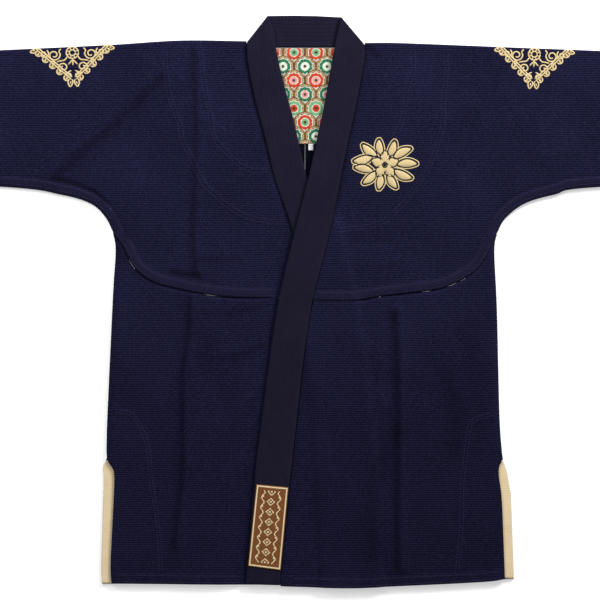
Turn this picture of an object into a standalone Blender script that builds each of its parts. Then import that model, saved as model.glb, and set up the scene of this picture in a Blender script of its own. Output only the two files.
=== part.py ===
"""A jiu-jitsu gi jacket, laid flat with its front up and the right front over the left.

X runs across the jacket from sleeve to sleeve, Y from hem to neck and Z up, and the jacket lies on z = 0.
Left and right are those of someone who looks down on it. All sizes and tables here are in millimetres, and
points are turned to metres as each mesh is made.

Each upper is one piece of pearl weave: front, sleeve and back half, folded over the shoulder. Below the
curved chest seam hang two front skirts and one back skirt. A stiff band runs round the neck and down both
fronts. Every cloth piece is a grid of points between its cut edges, with a height worked out from the edge
rows, the pieces below it and its folds, and Solidify gives it its wall.
"""

from collections import namedtuple

import bmesh
import bpy
import numpy as np

MM = 0.001
GAP = 0.3  # between pieces at seams and between layers

CLOTH = 2.0  # the wall of the pearl weave
BAND = 4.5  # lapels and neck band, cloth folded round a core
LINING = 0.9
TAPE = 1.0
LABEL = 0.8
TAB = 0.5

BACK_TOP = CLOTH  # the back lies on the surface
EDGE_TOP = BACK_TOP + GAP + CLOTH + 0.1  # a front's outer face where it is sewn to the back
FRONT_TOP = 6.5  # a front's outer face away from its edges
UNDER_TOP = 4.6  # the left front where the right front and its lapel press on it
OVER_TOP = 7.0  # the right front between its lapel and the under lapel
LAPEL_RISE = 9.4  # the right front where it passes over the under lapel
LAPEL_CLEAR = 9.25  # the least height of its outer face there
VENT_TOP = 5.8  # a front's outer face above a vent tape
SEAM_SPLAY = 0.25  # how far a skirt's edge lies outwards of the seam where the seam runs steeply
FELLED_RISE = 1.0  # a felled seam's band above the cloth beside it
FELLED_WIDTH = 16.0
UNDERARM_RISE = 0.7
TURN_RISE = 0.8  # the turned hem and cuffs
HEM_TURN = 15.0
CUFF_TURN = 28.0

Point = namedtuple("Point", "x y")
Fold = namedtuple("Fold", "path width height")  # a soft ridge, or a trough where height is below zero
Section = namedtuple("Section", "seam_x seam_y free_x free_y base")  # base is the underside's height

# The silhouette of each sleeve and shoulder, from the cuff to the neck.
RIDGE_LEFT = (
    Point(-799.5, 362.0), Point(-457.5, 377.5), Point(-300.0, 385.0),
    Point(-187.0, 392.0), Point(-88.0, 391.0),
)
RIDGE_RIGHT = (
    Point(799.5, 362.0), Point(441.0, 376.5), Point(300.0, 382.0),
    Point(150.0, 388.0), Point(90.0, 388.5),
)
RIDGE_TURN = 300.0  # how far from the middle the ridge leaves the shoulder for the sleeve

# The seam under each arm, from the cuff to the armpit.
UNDERARM_LEFT = (
    Point(-796.5, 188.0), Point(-457.0, 172.5), Point(-367.0, 160.5),
    Point(-322.0, 147.0), Point(-300.0, 127.0), Point(-288.0, 104.0),
)
UNDERARM_RIGHT = (
    Point(796.5, 188.0), Point(441.0, 172.0), Point(375.0, 160.5),
    Point(330.0, 147.0), Point(301.0, 125.0), Point(288.0, 102.0),
)

# The curved chest seam of each front, from the armpit to the lapel, and of the back, to its middle.
SEAM_LEFT = (
    Point(-288.0, 104.0), Point(-273.0, 82.0), Point(-256.0, 50.0), Point(-226.0, 28.5),
    Point(-189.0, 18.5), Point(-145.0, 10.0), Point(-97.0, 5.5), Point(-42.0, 5.2), Point(1.0, 5.0),
)
SEAM_RIGHT = (
    Point(288.0, 102.0), Point(277.5, 79.0), Point(263.0, 54.0), Point(243.0, 36.5),
    Point(208.5, 20.5), Point(171.0, 14.0), Point(118.0, 8.0), Point(71.0, 0.8), Point(12.5, 1.0),
)
BACK_SEAM = (
    Point(288.0, 103.0), Point(274.0, 80.0), Point(254.0, 47.0), Point(226.0, 27.0),
    Point(180.0, 15.0), Point(110.0, 7.0), Point(0.3, 5.0),
)

# The front skirts' outer edges, from the hem past the vent to the armpit.
SIDE_LEFT = (
    Point(-290.3, -423.0), Point(-291.6, -392.0), Point(-286.8, -291.0), Point(-286.2, -262.5),
    Point(-288.2, -251.0), Point(-296.5, -237.0), Point(-297.7, -208.0), Point(-295.5, -148.0),
    Point(-288.0, 10.0), Point(-284.0, 77.0), Point(-288.0, 103.7),
)
SIDE_RIGHT = (
    Point(300.0, -416.5), Point(298.0, -363.0), Point(295.2, -297.0), Point(291.0, -262.5),
    Point(291.5, -247.0), Point(295.6, -233.0), Point(291.8, -170.0), Point(288.0, -13.0),
    Point(284.0, 77.0), Point(288.0, 101.7),
)
# The back skirt's outer edges, which the vents leave bare, with the tape's outer edge.
BACK_SIDE_LEFT = (
    Point(-305.0, -424.0), Point(-306.0, -394.5), Point(-303.0, -298.0), Point(-302.3, -262.5),
    Point(-303.0, -247.0), Point(-298.0, -236.0), Point(-297.7, -208.0), Point(-295.5, -148.0),
    Point(-288.0, 10.0), Point(-284.0, 77.0), Point(-288.0, 102.7),
)
BACK_SIDE_RIGHT = (
    Point(314.0, -416.5), Point(309.6, -297.0), Point(308.0, -283.0), Point(303.0, -254.0),
    Point(297.0, -235.0), Point(291.8, -170.0), Point(288.0, -13.0), Point(284.0, 77.0),
    Point(288.0, 102.7),
)
HEM_LEFT = (Point(-290.3, -423.0), Point(-90.0, -425.0), Point(40.6, -425.5))
HEM_RIGHT = (Point(300.0, -416.5), Point(262.0, -421.0), Point(127.0, -427.5), Point(60.0, -429.7),
             Point(-37.0, -427.0))
HEM_BACK = (Point(-305.0, -424.0), Point(-90.0, -425.0), Point(127.0, -427.0), Point(314.0, -416.5))

# The lapels, from the neck to the hem. The seam edge is sewn to the front, and the free edge hangs.
LAPEL_UNDER = (
    Section(-87.0, 389.0, -55.5, 429.0, 4.9), Section(-87.3, 376.0, -47.0, 406.0, 4.9),
    Section(-86.0, 358.0, -43.3, 379.0, 4.9), Section(-76.5, 308.0, -33.0, 332.0, 3.7),
    Section(-61.5, 251.0, -15.0, 264.0, 3.7), Section(-44.0, 179.0, 1.5, 193.0, 2.9),
    Section(-18.5, 104.0, 29.0, 114.0, 2.4), Section(2.0, 5.0, 51.0, 13.0, 2.4),
    Section(13.0, -60.0, 63.0, -54.0, 2.4), Section(24.0, -150.0, 74.0, -145.0, 2.4),
    Section(33.0, -250.0, 83.0, -247.0, 2.4), Section(41.0, -424.5, 91.0, -424.5, 2.4),
)
LAPEL_TOP = (
    Section(88.5, 386.0, 54.0, 427.0, 4.9), Section(90.0, 373.0, 48.0, 402.0, 4.9),
    Section(88.5, 358.0, 43.3, 376.0, 4.9), Section(76.0, 292.0, 30.0, 301.0, 4.4),
    Section(64.5, 240.0, 19.0, 249.0, 6.4), Section(52.5, 181.0, 6.0, 190.0, 8.2),
    Section(35.5, 97.0, -15.6, 105.0, 7.7), Section(13.5, 13.0, -36.0, 20.0, 7.4),
    Section(4.0, -41.0, -46.0, -36.0, 6.6), Section(-4.5, -104.0, -55.0, -99.0, 5.3),
    Section(-18.5, -233.0, -72.0, -229.0, 4.9), Section(-24.0, -278.0, -76.5, -274.0, 4.9),
    Section(-36.0, -400.0, -86.5, -397.0, 4.9), Section(-37.5, -425.5, -90.0, -424.0, 4.9),
)
LAPEL_SECTIONS = 26

# The neck band behind the neck, between the two slanting folds where it turns into the lapels.
NECKLINE = (Point(-85.0, 391.3), Point(-43.5, 381.2), Point(45.0, 381.2), Point(87.0, 388.6))
NECK_BAND_TOP = (Point(-55.5, 429.0), Point(-30.0, 429.7), Point(30.0, 428.6), Point(54.0, 427.0))

LINING_TOP = 381.0
LINING_FOOT = 237.0
LINING_HALF_TOP = 66.0
LINING_HALF_FOOT = 34.0
LINING_NARROWS = 0.45  # how quickly the lining's sides draw in below the neck

TAB_SIZE = (7.5, 9.5)
TAB_PLACE = Point(5.0, 227.0)

LABEL_CORNERS = (Point(-85.5, -396.3), Point(-36.4, -402.8), Point(-24.8, -278.3), Point(-72.9, -273.8))

TAPE_TUCK = 7.0  # how far a vent tape reaches in under the front's edge

# The largest folds: where the jacket was folded in its packet, and where it does not lie quite flat.
FOLDS = (
    Fold(((-163.5, 376.0), (-160.5, 275.0), (-162.0, 157.0), (-165.0, 94.0), (-161.0, 40.0)), 9.0, 1.5),
    Fold(((-169.5, 4.0), (-171.0, -46.0), (-181.5, -110.0), (-180.0, -245.0), (-193.5, -365.0)), 9.0, 1.6),
    Fold(((-379.5, 182.0), (-327.0, 232.0), (-282.0, 269.0), (-210.0, 338.0)), 16.0, 1.8),
    Fold(((137.0, -14.0), (140.0, -83.0), (142.5, -158.0), (141.0, -290.0), (142.5, -400.0)), 9.0, 1.9),
    Fold(((126.0, -28.0), (126.0, -140.0)), 9.0, -1.4),
    Fold(((218.0, -113.0), (220.5, -163.0), (217.5, -208.0)), 12.0, 1.2),
    Fold(((70.0, 92.0), (124.5, 94.0)), 9.0, -1.0),
    Fold(((315.0, 250.0), (330.0, 210.0)), 16.0, -1.2),
    Fold(((510.0, 310.0), (430.0, 250.0), (360.0, 215.0)), 18.0, 1.2),
)

FINE, COARSE, FINE_REACH = 10.0, 26.0, 30.0  # a grid's spacing near a fold or an edge, elsewhere, and how near
FOLD_PLACE = 148.0  # where the upright folds cross the chest seams, measured from the armpit


def metres(points):
    return np.asarray(points, float) * MM


def line_of(points):
    """A smooth line through the table's points: a Catmull-Rom curve, with 12 steps between two points."""
    p = np.array([(q[0], q[1]) for q in points], float)
    p = np.vstack([2 * p[0] - p[1], p, 2 * p[-1] - p[-2]])
    t = np.linspace(0, 1, 12, endpoint=False)[:, None]
    spans = []
    for a, b, c, d in zip(p[:-3], p[1:-2], p[2:-1], p[3:]):
        bend = (2 * a - 5 * b + 4 * c - d) * t**2 + (3 * b - a - 3 * c + d) * t**3
        spans.append((2 * b + (c - a) * t + bend) / 2)
    return np.vstack(spans + [p[-2:-1]])


def along(line):
    """How far along the line each of its points is, in millimetres."""
    return np.concatenate([[0.0], np.cumsum(np.linalg.norm(np.diff(line, axis=0), axis=1))])


def at(line, share):
    """The points at these shares of the line's length."""
    far = along(line)
    return np.stack([np.interp(share, far / far[-1], line[:, k]) for k in (0, 1)], axis=-1)


def seam_shares(seam, side):
    """The columns' shares of a chest seam, from the armpit: close where a fold or a lapel's edge crosses them."""
    length = along(seam)[-1]
    fine_at = [0.0, FOLD_PLACE] + [length - far for far in ((20.0,) if side < 0 else (20.0, 60.0, 110.0))]
    marks = [0.0]
    while marks[-1] < length:
        near = min(abs(marks[-1] + FINE - place) for place in fine_at) < FINE_REACH
        marks.append(marks[-1] + (FINE if near else COARSE))
    return np.array(marks) / marks[-1]


def patch(feet, tops, left, right, v):
    """A net between four edges: feet and tops are the columns' ends, v is each row's share of its column.
    Each column is the straight line from foot to top, moved by how far the left and right edges bend."""
    u = (along(feet) / along(feet)[-1])[:, None, None]
    v3 = v[..., None]

    def bend(edge):
        return at(edge, v) - ((1 - v3) * edge[0] + v3 * edge[-1])

    return (1 - v3) * feet[:, None] + v3 * tops[:, None] + (1 - u) * bend(left) + u * bend(right)


def row_shares(feet, tops, near_foot, middle, near_top):
    """Each column's row shares: rows a fixed way from the foot, rows at shares of it, rows near the top."""
    length = np.linalg.norm(tops - feet, axis=1)[:, None]
    low = np.array(near_foot)[None] / length
    high = 1 - np.array(near_top)[None] / length
    between = low[:, -1:] + (high[:, :1] - low[:, -1:]) * np.array(middle)[None]
    return np.hstack([low, between, high])


def far_from(path, x, y):
    """How far each point is from a path of straight runs."""
    p = np.array(path, float)
    best = np.full(np.shape(x), np.inf)
    for a, b in zip(p[:-1], p[1:]):
        run = b - a
        t = np.clip(((x - a[0]) * run[0] + (y - a[1]) * run[1]) / (run @ run), 0, 1)
        best = np.minimum(best, np.hypot(x - a[0] - t * run[0], y - a[1] - t * run[1]))
    return best


def folds(x, y):
    """The height that the folds add: each is a round-topped ridge that fades away from its path."""
    return sum(f.height * np.exp(-((far_from(f.path, x, y) / f.width) ** 2)) for f in FOLDS)


def ease(share):
    s = np.clip(share, 0, 1)
    return s * s * (3 - 2 * s)


def edge_x(sections, which, y):
    """Where a lapel's seam or free edge is at height y on the jacket."""
    ys = np.array([getattr(s, which + "_y") for s in sections])[::-1]
    xs = np.array([getattr(s, which + "_x") for s in sections])[::-1]
    return np.interp(y, ys, xs)


def left_height(x, y):
    """The left front: low under the top lapel and the right front, and up to its own height beside them."""
    outside = edge_x(LAPEL_TOP, "free", y) - 14 - x
    crossing = ease((215 - y) / 30)  # above the crossing of the lapels nothing presses on it
    pressed = (1 - ease(outside / 26)) * crossing
    return FRONT_TOP + folds(x, y) * (1 - pressed) - (FRONT_TOP - UNDER_TOP) * pressed


def lifted(x, y):
    """How far the right front is lifted by the under lapel: 1 over it, easing to 0 beside it."""
    before = edge_x(LAPEL_UNDER, "seam", y) - 10 - x
    beyond = x - edge_x(LAPEL_UNDER, "free", y) - 18
    return (1 - ease(before / 14)) * (1 - ease(beyond / 14)) * ease((190 - y) / 25)


def right_height(x, y):
    """The right front: over the left one near its lapel, higher over the under lapel, then down to its own."""
    lift = lifted(x, y)
    base = np.where(x < edge_x(LAPEL_UNDER, "seam", y), OVER_TOP, FRONT_TOP)
    return base + (LAPEL_RISE - base) * lift + folds(x, y) * (1 - lift)


def settle(x, y, z, side):
    """Keeps a front's outer face clear of what lies below it, and the left front clear of what lies on it."""
    z = np.maximum(z, EDGE_TOP)
    if side < 0:
        pressed = (x > edge_x(LAPEL_TOP, "free", y) - 14) & (y < 185)
        return np.where(pressed, np.minimum(z, UNDER_TOP), z)
    return np.where(lifted(x, y) > 0.999, np.maximum(z, LAPEL_CLEAR), z)


def finish(name, colour, roughness):
    material = bpy.data.materials.new(name)
    material.use_nodes = True
    shader = material.node_tree.nodes["Principled BSDF"]
    shader.inputs["Base Color"].default_value = (*colour, 1.0)
    shader.inputs["Roughness"].default_value = roughness
    shader.inputs["Metallic"].default_value = 0.0
    return material


def add(name, mesh, material):
    piece = bpy.data.objects.new(name, mesh)
    piece.data.materials.append(material)
    jacket.objects.link(piece)
    return piece


def cloth(name, points, wall, material):
    """A grid whose vertices move to points (column, row, xyz), its outer face, with its wall inside it."""
    columns, rows = points.shape[:2]
    bm = bmesh.new()
    bmesh.ops.create_grid(bm, x_segments=columns - 1, y_segments=rows - 1, size=0.5)
    for vertex in bm.verts:
        i = round((vertex.co.x + 0.5) * (columns - 1))
        j = round((vertex.co.y + 0.5) * (rows - 1))
        vertex.co = points[i, j] * MM
    mesh = bpy.data.meshes.new(name)
    bm.to_mesh(mesh)
    bm.free()
    piece = add(name, mesh, material)
    solid = piece.modifiers.new("Wall", "SOLIDIFY")
    solid.thickness = wall * MM
    solid.offset = -1.0
    return piece


def raised(points, heights):
    return np.dstack([points, heights])


def upper(name, ridge, underarm, seam, lapel_edge, side, height, material):
    """Front, sleeve and back half in one: rows run from the front's foot over the ridge to the back's foot.
    side is -1 for the left upper and 1 for the right one, and columns run from the cuff to the middle."""
    ridge, underarm, seam, lapel_edge = (line_of(e) for e in (ridge, underarm, seam, lapel_edge))
    ridge_far = along(ridge)
    turn = np.interp(RIDGE_TURN, np.abs(ridge[::-1, 0]), (ridge_far / ridge_far[-1])[::-1])
    arm_length = along(underarm)[-1]
    on_arm = np.concatenate([[0, CUFF_TURN / arm_length, (CUFF_TURN + 2) / arm_length],
                             np.linspace(0.14, 1, 12)[:-1]])
    on_body = seam_shares(seam, side)
    feet = np.vstack([at(underarm, on_arm), at(seam, on_body)])
    tops = at(ridge, np.concatenate([on_arm * turn, turn + (1 - turn) * on_body]))
    body = np.concatenate([np.zeros(len(on_arm)), ease(np.arange(len(on_body)) / 3)])[:, None]

    near_foot = (0.0, 2.5, FELLED_WIDTH - 1, FELLED_WIDTH + 1)
    v = row_shares(feet, tops, near_foot, np.linspace(0, 1, 8)[1:-1], (44.0, 20.0, FRONT_TOP / 2))
    cuff = line_of((feet[0], tops[0]))
    front = patch(feet, tops, cuff, lapel_edge, v)
    # The underarm edge lies low, on the back. The chest seam's edge stays up, above its groove.
    arm_rows = np.array([EDGE_TOP, EDGE_TOP + 1.0, FRONT_TOP + UNDERARM_RISE - 0.4, FRONT_TOP - 0.2])
    body_rows = np.array([FRONT_TOP - 0.9, FRONT_TOP + FELLED_RISE, FRONT_TOP + FELLED_RISE, FRONT_TOP])
    z = height(front[..., 0], front[..., 1])
    z[:, :4] += (arm_rows * (1 - body) + body_rows * body) - FRONT_TOP
    in_turn = np.arange(len(feet)) < 2
    z[in_turn, 2:] += TURN_RISE
    z = settle(front[..., 0], front[..., 1], z, side)

    radius = z[:, -1] / 2
    up = tops - front[:, -2]
    up /= np.linalg.norm(up, axis=1)[:, None]
    turn_by = np.radians([45, 90, 135, 180])
    back_in = radius[:, None] * (1 - np.sin(turn_by))
    bend = tops[:, None] - up[:, None] * back_in[..., None]
    bend_z = radius[:, None] * (1 + np.cos(turn_by))
    front[:, -1] = tops - up * radius[:, None]

    middle = line_of([Point(side * p.x, p.y) for p in BACK_SEAM])
    back_feet = np.vstack([at(underarm, on_arm), at(middle, on_body)])
    neck = NECKLINE[:2] if side < 0 else NECKLINE[:1:-1]
    shoulder = (tops[-1][0], tops[-1][1])
    spine = np.array([(side * GAP, BACK_SEAM[-1].y), (side * GAP, neck[1].y - 2 * GAP),
                      (neck[1].x, neck[1].y - 2 * GAP), shoulder])
    down = (along(spine) / along(spine)[-1])[1:3]
    rows = np.array([down[1], down[0], down[0] / 2, 0.0])[None].repeat(len(feet), 0)
    back = patch(back_feet, tops, cuff, spine, rows)

    points = np.concatenate([raised(front, z), raised(bend, bend_z), raised(back, np.zeros(rows.shape))], 1)
    return cloth(name, points if side < 0 else points[::-1], CLOTH, material)


def front_skirt(name, seam, hem, side_edge, lapel_edge, side, height, material):
    """A front below the chest seam: rows run from the hem to the seam, and columns from the side inwards."""
    seam, hem, side_edge, lapel_edge = (line_of(e) for e in (seam, hem, side_edge, lapel_edge))
    columns = seam_shares(seam, side)
    tops = at(seam, columns) + (side * SEAM_SPLAY, -GAP)
    feet = at(hem, columns)
    v = row_shares(feet, tops, (0.0, HEM_TURN - 1, HEM_TURN + 1),
                   (0.1, 0.2, 0.3, 0.345, 0.37, 0.41, 0.5, 0.6, 0.7, 0.8, 0.9), (14.0, 4.0, 0.0))
    net = patch(feet, tops, side_edge, lapel_edge, v)
    z = height(net[..., 0], net[..., 1])
    z[:, :2] += TURN_RISE
    z[:, -1] -= 0.9
    x, y = net[..., 0], net[..., 1]
    vent = ease((-205 - y[0]) / 20)
    z[0] = EDGE_TOP + (VENT_TOP - EDGE_TOP) * vent
    points = raised(net, settle(x, y, z, side))
    return cloth(name, points if side < 0 else points[::-1], CLOTH, material)


def back_skirt(material):
    """The back below its seam, one piece from side to side, flat on the surface."""
    half = line_of(BACK_SEAM)
    left = at(half, seam_shares(line_of(SEAM_LEFT), -1)) * (-1, 1) + (-SEAM_SPLAY, -GAP)
    right = at(half, seam_shares(line_of(SEAM_RIGHT), 1)) + (SEAM_SPLAY, -GAP)
    seam = np.vstack([left, right[::-1]])
    hem = line_of(HEM_BACK)
    feet = at(hem, along(seam) / along(seam)[-1])
    rows = np.array([0, 0.15, 0.3, 0.345, 0.37, 0.41, 0.6, 0.8, 1.0])[None].repeat(len(seam), 0)
    net = patch(feet, seam, line_of(BACK_SIDE_LEFT), line_of(BACK_SIDE_RIGHT), rows)
    points = raised(net, np.full(rows.shape, BACK_TOP))
    return cloth("skirt_back", points, CLOTH, material)


def ring(seam, free, base, thick):
    """One section across a band: a rectangle with eased corners between its seam edge and its free edge."""
    across = np.array([0.0, 0.0, 0.03, 0.97, 1.0, 1.0, 0.97, 0.03])
    up = np.array([0.2, 0.8, 1.0, 1.0, 0.8, 0.2, 0.0, 0.0])
    flat = seam + (free - seam) * across[:, None]
    return np.column_stack([flat, base + thick * up])


def band(name, rings, material):
    """A closed loft through rings of eight points, with its ends capped."""
    count, points = rings.shape[:2]
    one = np.arange(points)
    step = (np.arange(count - 1) * points)[:, None]
    a, b = one[None] + step, np.roll(one, -1)[None] + step
    sides = np.stack([a, b, b + points, a + points], axis=-1).reshape(-1, 4)
    caps = [one[::-1].tolist(), (one + (count - 1) * points).tolist()]
    mesh = bpy.data.meshes.new(name)
    mesh.from_pydata(metres(rings).reshape(-1, 3).tolist(), [], sides.tolist() + caps)
    bm = bmesh.new()
    bm.from_mesh(mesh)
    bmesh.ops.recalc_face_normals(bm, faces=bm.faces)
    bm.to_mesh(mesh)
    bm.free()
    return add(name, mesh, material)


def lapel(name, sections, material):
    """Rings along a lapel, from the neck to the hem."""
    seam = line_of([(s.seam_x, s.seam_y) for s in sections])
    free = line_of([(s.free_x, s.free_y) for s in sections])
    base = np.array([s.base for s in sections])
    shares = np.linspace(0, 1, LAPEL_SECTIONS)
    knots = np.linspace(0, len(seam) - 1, len(sections)).round().astype(int)
    bases = np.interp(shares, along(seam)[knots] / along(seam)[-1], base)
    order = np.interp(shares, along(seam) / along(seam)[-1], np.arange(len(seam)))
    partner = np.stack([np.interp(order, np.arange(len(free)), free[:, k]) for k in (0, 1)], axis=-1)
    rings = [ring(s, f, b, BAND) for s, f, b in zip(at(seam, shares), partner, bases)]
    return band(name, np.array(rings), material)


def lapel_edge_of(sections, seam_end, top_end, away):
    """The line where a front meets its lapel, between two heights, a gap away from the lapel's seam edge."""
    line = line_of([(s.seam_x, s.seam_y) for s in sections])
    kept = line[(line[:, 1] < top_end[1] - 6) & (line[:, 1] > seam_end[1] + 4)][::-4] + (away, 0)
    return [tuple(seam_end)] + [tuple(p) for p in kept] + [tuple(top_end)]


def neck_band(material):
    """The band behind the neck, its outside down, from the left slanting fold to the right one."""
    low = np.array(NECKLINE)
    high = at(line_of(NECK_BAND_TOP), np.linspace(0, 1, len(NECKLINE)))
    rings = [ring(a, b, 0.0, BAND) for a, b in zip(low, high)]
    return band("neck_band", np.array(rings), material)


def lining(material):
    """The printed lining inside the back: a panel whose sides draw in towards its foot."""
    v = np.linspace(0, 1, 7)
    half = LINING_HALF_FOOT + (LINING_HALF_TOP - LINING_HALF_FOOT) * v**LINING_NARROWS
    half = np.where(v == 1, 44.0, half)
    u = np.linspace(-1, 1, 5)
    x = u[:, None] * half[None] + 1.0
    y = LINING_FOOT + (LINING_TOP - 0.9 - LINING_FOOT) * v[None].repeat(len(u), 0)
    z = np.full(x.shape, BACK_TOP + GAP + LINING)
    return cloth("neck_lining", np.dstack([x, y, z]), LINING, material)


def tape(name, outer, side, material):
    """Ribbed tape on the back skirt's vent edge, from the hem up to the top of the vent."""
    edge = line_of(outer)
    edge = edge[edge[:, 1] < -238]
    line = at(edge, np.linspace(0, 1, 11)) - (side * 0.2, 0)
    inner = line - (side * (13.0 + TAPE_TUCK), 0)
    net = np.stack([line, inner], axis=0) if side < 0 else np.stack([inner, line], axis=0)
    points = raised(net, np.full(net.shape[:2], BACK_TOP + GAP + TAPE))
    return cloth(name, points, TAPE, material)


def on_lapel(name, corners, clear, wall, material):
    """A flat piece that lies on the lower end of the top lapel, between four corners."""
    a, b, c, d = (np.array(p) for p in corners)
    u, v = (g[..., None] for g in np.meshgrid(np.linspace(0, 1, 4), np.linspace(0, 1, 6), indexing="ij"))
    net = (1 - u) * ((1 - v) * a + v * d) + u * ((1 - v) * b + v * c)
    top = LAPEL_TOP[-1].base + BAND + clear + wall
    return cloth(name, raised(net, np.full(net.shape[:2], top)), wall, material)


def size_tab(material):
    """A small blank tab that hangs from the lining's foot."""
    x = TAB_PLACE.x + np.array([0.0, TAB_SIZE[0]])
    y = TAB_PLACE.y + np.array([0.0, TAB_SIZE[1] / 2, TAB_SIZE[1]])
    gx, gy = np.meshgrid(x, y, indexing="ij")
    z = np.where(gy > LINING_FOOT - 4, BACK_TOP + 2 * GAP + LINING + TAB, BACK_TOP + GAP + TAB + 0.6)
    return cloth("size_tab", np.dstack([gx, gy, z]), TAB, material)


for old in list(bpy.data.objects):
    bpy.data.objects.remove(old, do_unlink=True)
jacket = bpy.data.collections.new("jiu_jitsu_gi_jacket")
bpy.context.scene.collection.children.link(jacket)

navy = (0.012, 0.012, 0.042)
weave = finish("pearl_weave", navy, 0.9)
drill = finish("lapel_drill", (0.013, 0.011, 0.030), 0.85)
print_cloth = finish("printed_lining", (0.45, 0.20, 0.06), 0.7)
cream = finish("cream_tape", (0.75, 0.56, 0.30), 0.8)
brown = finish("woven_label", (0.17, 0.07, 0.02), 0.7)
white = finish("white_tab", (0.8, 0.8, 0.8), 0.7)

left_edge = lapel_edge_of(LAPEL_UNDER, SEAM_LEFT[-1], RIDGE_LEFT[-1], -2 * GAP)
right_edge = lapel_edge_of(LAPEL_TOP, SEAM_RIGHT[-1], RIDGE_RIGHT[-1], 2 * GAP)
left_low = lapel_edge_of(LAPEL_UNDER, HEM_LEFT[-1], (SEAM_LEFT[-1].x, SEAM_LEFT[-1].y - GAP), -2 * GAP)
right_low = lapel_edge_of(LAPEL_TOP, HEM_RIGHT[-1], (SEAM_RIGHT[-1].x, SEAM_RIGHT[-1].y - GAP), 2 * GAP)

upper("upper_left", RIDGE_LEFT, UNDERARM_LEFT, SEAM_LEFT, left_edge, -1, left_height, weave)
upper("upper_right", RIDGE_RIGHT, UNDERARM_RIGHT, SEAM_RIGHT, right_edge, 1, right_height, weave)
front_skirt("skirt_front_left", SEAM_LEFT, HEM_LEFT, SIDE_LEFT, left_low, -1, left_height, weave)
front_skirt("skirt_front_right", SEAM_RIGHT, HEM_RIGHT, SIDE_RIGHT, right_low, 1, right_height, weave)
back_skirt(weave)
lapel("lapel_under", LAPEL_UNDER, drill)
lapel("lapel_top", LAPEL_TOP, drill)
neck_band(drill)
lining(print_cloth)
tape("vent_tape_left", BACK_SIDE_LEFT, -1, cream)
tape("vent_tape_right", BACK_SIDE_RIGHT, 1, cream)
on_lapel("lapel_label", LABEL_CORNERS, GAP, LABEL, brown)
size_tab(white)
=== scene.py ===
"""A jiu-jitsu gi jacket, laid flat with its front up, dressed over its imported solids.

X runs across the jacket, Y from hem to neck and Z up. Sizes and tables are in millimetres and repeat the
names of the solids, and points are turned to metres as each mesh is made. Left and right are those of someone
who looks down on the jacket.

The outer face of every cloth piece is a height worked out from a point's x and y, so what is sewn on a piece
takes its height from the same function. The nets follow the pieces' cut edges, and Solidify gives the walls.
"""

from collections import namedtuple

import bpy
import numpy as np
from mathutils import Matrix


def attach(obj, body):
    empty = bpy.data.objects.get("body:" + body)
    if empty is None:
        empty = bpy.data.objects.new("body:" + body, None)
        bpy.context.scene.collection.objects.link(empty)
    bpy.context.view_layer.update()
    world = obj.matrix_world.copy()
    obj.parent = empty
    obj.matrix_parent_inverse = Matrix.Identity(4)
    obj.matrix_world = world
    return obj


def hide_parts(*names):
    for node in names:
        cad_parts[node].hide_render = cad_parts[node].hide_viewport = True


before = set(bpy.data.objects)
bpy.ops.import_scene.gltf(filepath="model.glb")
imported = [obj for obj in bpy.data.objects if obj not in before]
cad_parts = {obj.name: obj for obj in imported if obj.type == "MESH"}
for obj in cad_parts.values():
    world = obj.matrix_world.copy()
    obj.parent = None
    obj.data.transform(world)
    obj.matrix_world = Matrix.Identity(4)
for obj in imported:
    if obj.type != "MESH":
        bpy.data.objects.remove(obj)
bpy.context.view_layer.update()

MM = 0.001
GAP = 0.3  # between pieces at seams and between layers

CLOTH = 2.0  # the wall of the pearl weave
BAND = 4.5  # lapels and neck band, cloth folded round a core
LINING = 0.9
TAPE = 1.0
LABEL = 0.8
TAB = 0.5

BACK_TOP = CLOTH  # the back lies on the surface
EDGE_TOP = BACK_TOP + GAP + CLOTH + 0.1  # a front's outer face where it is sewn to the back
FRONT_TOP = 6.5  # a front's outer face away from its edges
UNDER_TOP = 4.6  # the left front where the right front and its lapel press on it
OVER_TOP = 7.0  # the right front between its lapel and the under lapel
LAPEL_RISE = 9.4  # the right front where it passes over the under lapel
LAPEL_CLEAR = 9.25  # the least height of its outer face there
VENT_TOP = 5.8  # a front's outer face above a vent tape
SEAM_SPLAY = 0.25  # how far a skirt's edge lies outwards of the seam where the seam runs steeply
SEAM_DIP = 1.3  # how far a skirt dips where it is sewn to the chest seam's band
SEAM_DIP_REACH = 5.0
SIDE_ROUND = 10.0  # over how far a front comes down to its side edge
FELLED_WIDTH = 16.0  # the chest seam's band
UNDERARM_WIDTH = 15.0  # the band under an arm
TURN_RISE = 0.8  # the turned hem and cuffs
HEM_TURN = 15.0
CUFF_TURN = 28.0

Point = namedtuple("Point", "x y")
Fold = namedtuple("Fold", "path width height")  # a soft ridge, or a trough where height is below zero
Section = namedtuple("Section", "seam_x seam_y free_x free_y base")  # base is the underside's height

# The silhouette of each sleeve and shoulder, from the cuff to the neck.
RIDGE_LEFT = (
    Point(-799.5, 362.0), Point(-457.5, 377.5), Point(-300.0, 385.0),
    Point(-187.0, 392.0), Point(-88.0, 391.0),
)
RIDGE_RIGHT = (
    Point(799.5, 362.0), Point(441.0, 376.5), Point(300.0, 382.0),
    Point(150.0, 388.0), Point(90.0, 388.5),
)
ARMPIT_Y, ARMPIT_FADE = 106.0, 28.0  # where the chest seam's band begins, and over how far it grows
RIDGE_TURN = 300.0  # how far from the middle the ridge leaves the shoulder for the sleeve

# The seam under each arm, from the cuff to the armpit.
UNDERARM_LEFT = (
    Point(-796.5, 188.0), Point(-457.0, 172.5), Point(-367.0, 160.5),
    Point(-322.0, 147.0), Point(-300.0, 127.0), Point(-288.0, 104.0),
)
UNDERARM_RIGHT = (
    Point(796.5, 188.0), Point(441.0, 172.0), Point(375.0, 160.5),
    Point(330.0, 147.0), Point(301.0, 125.0), Point(288.0, 102.0),
)

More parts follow.
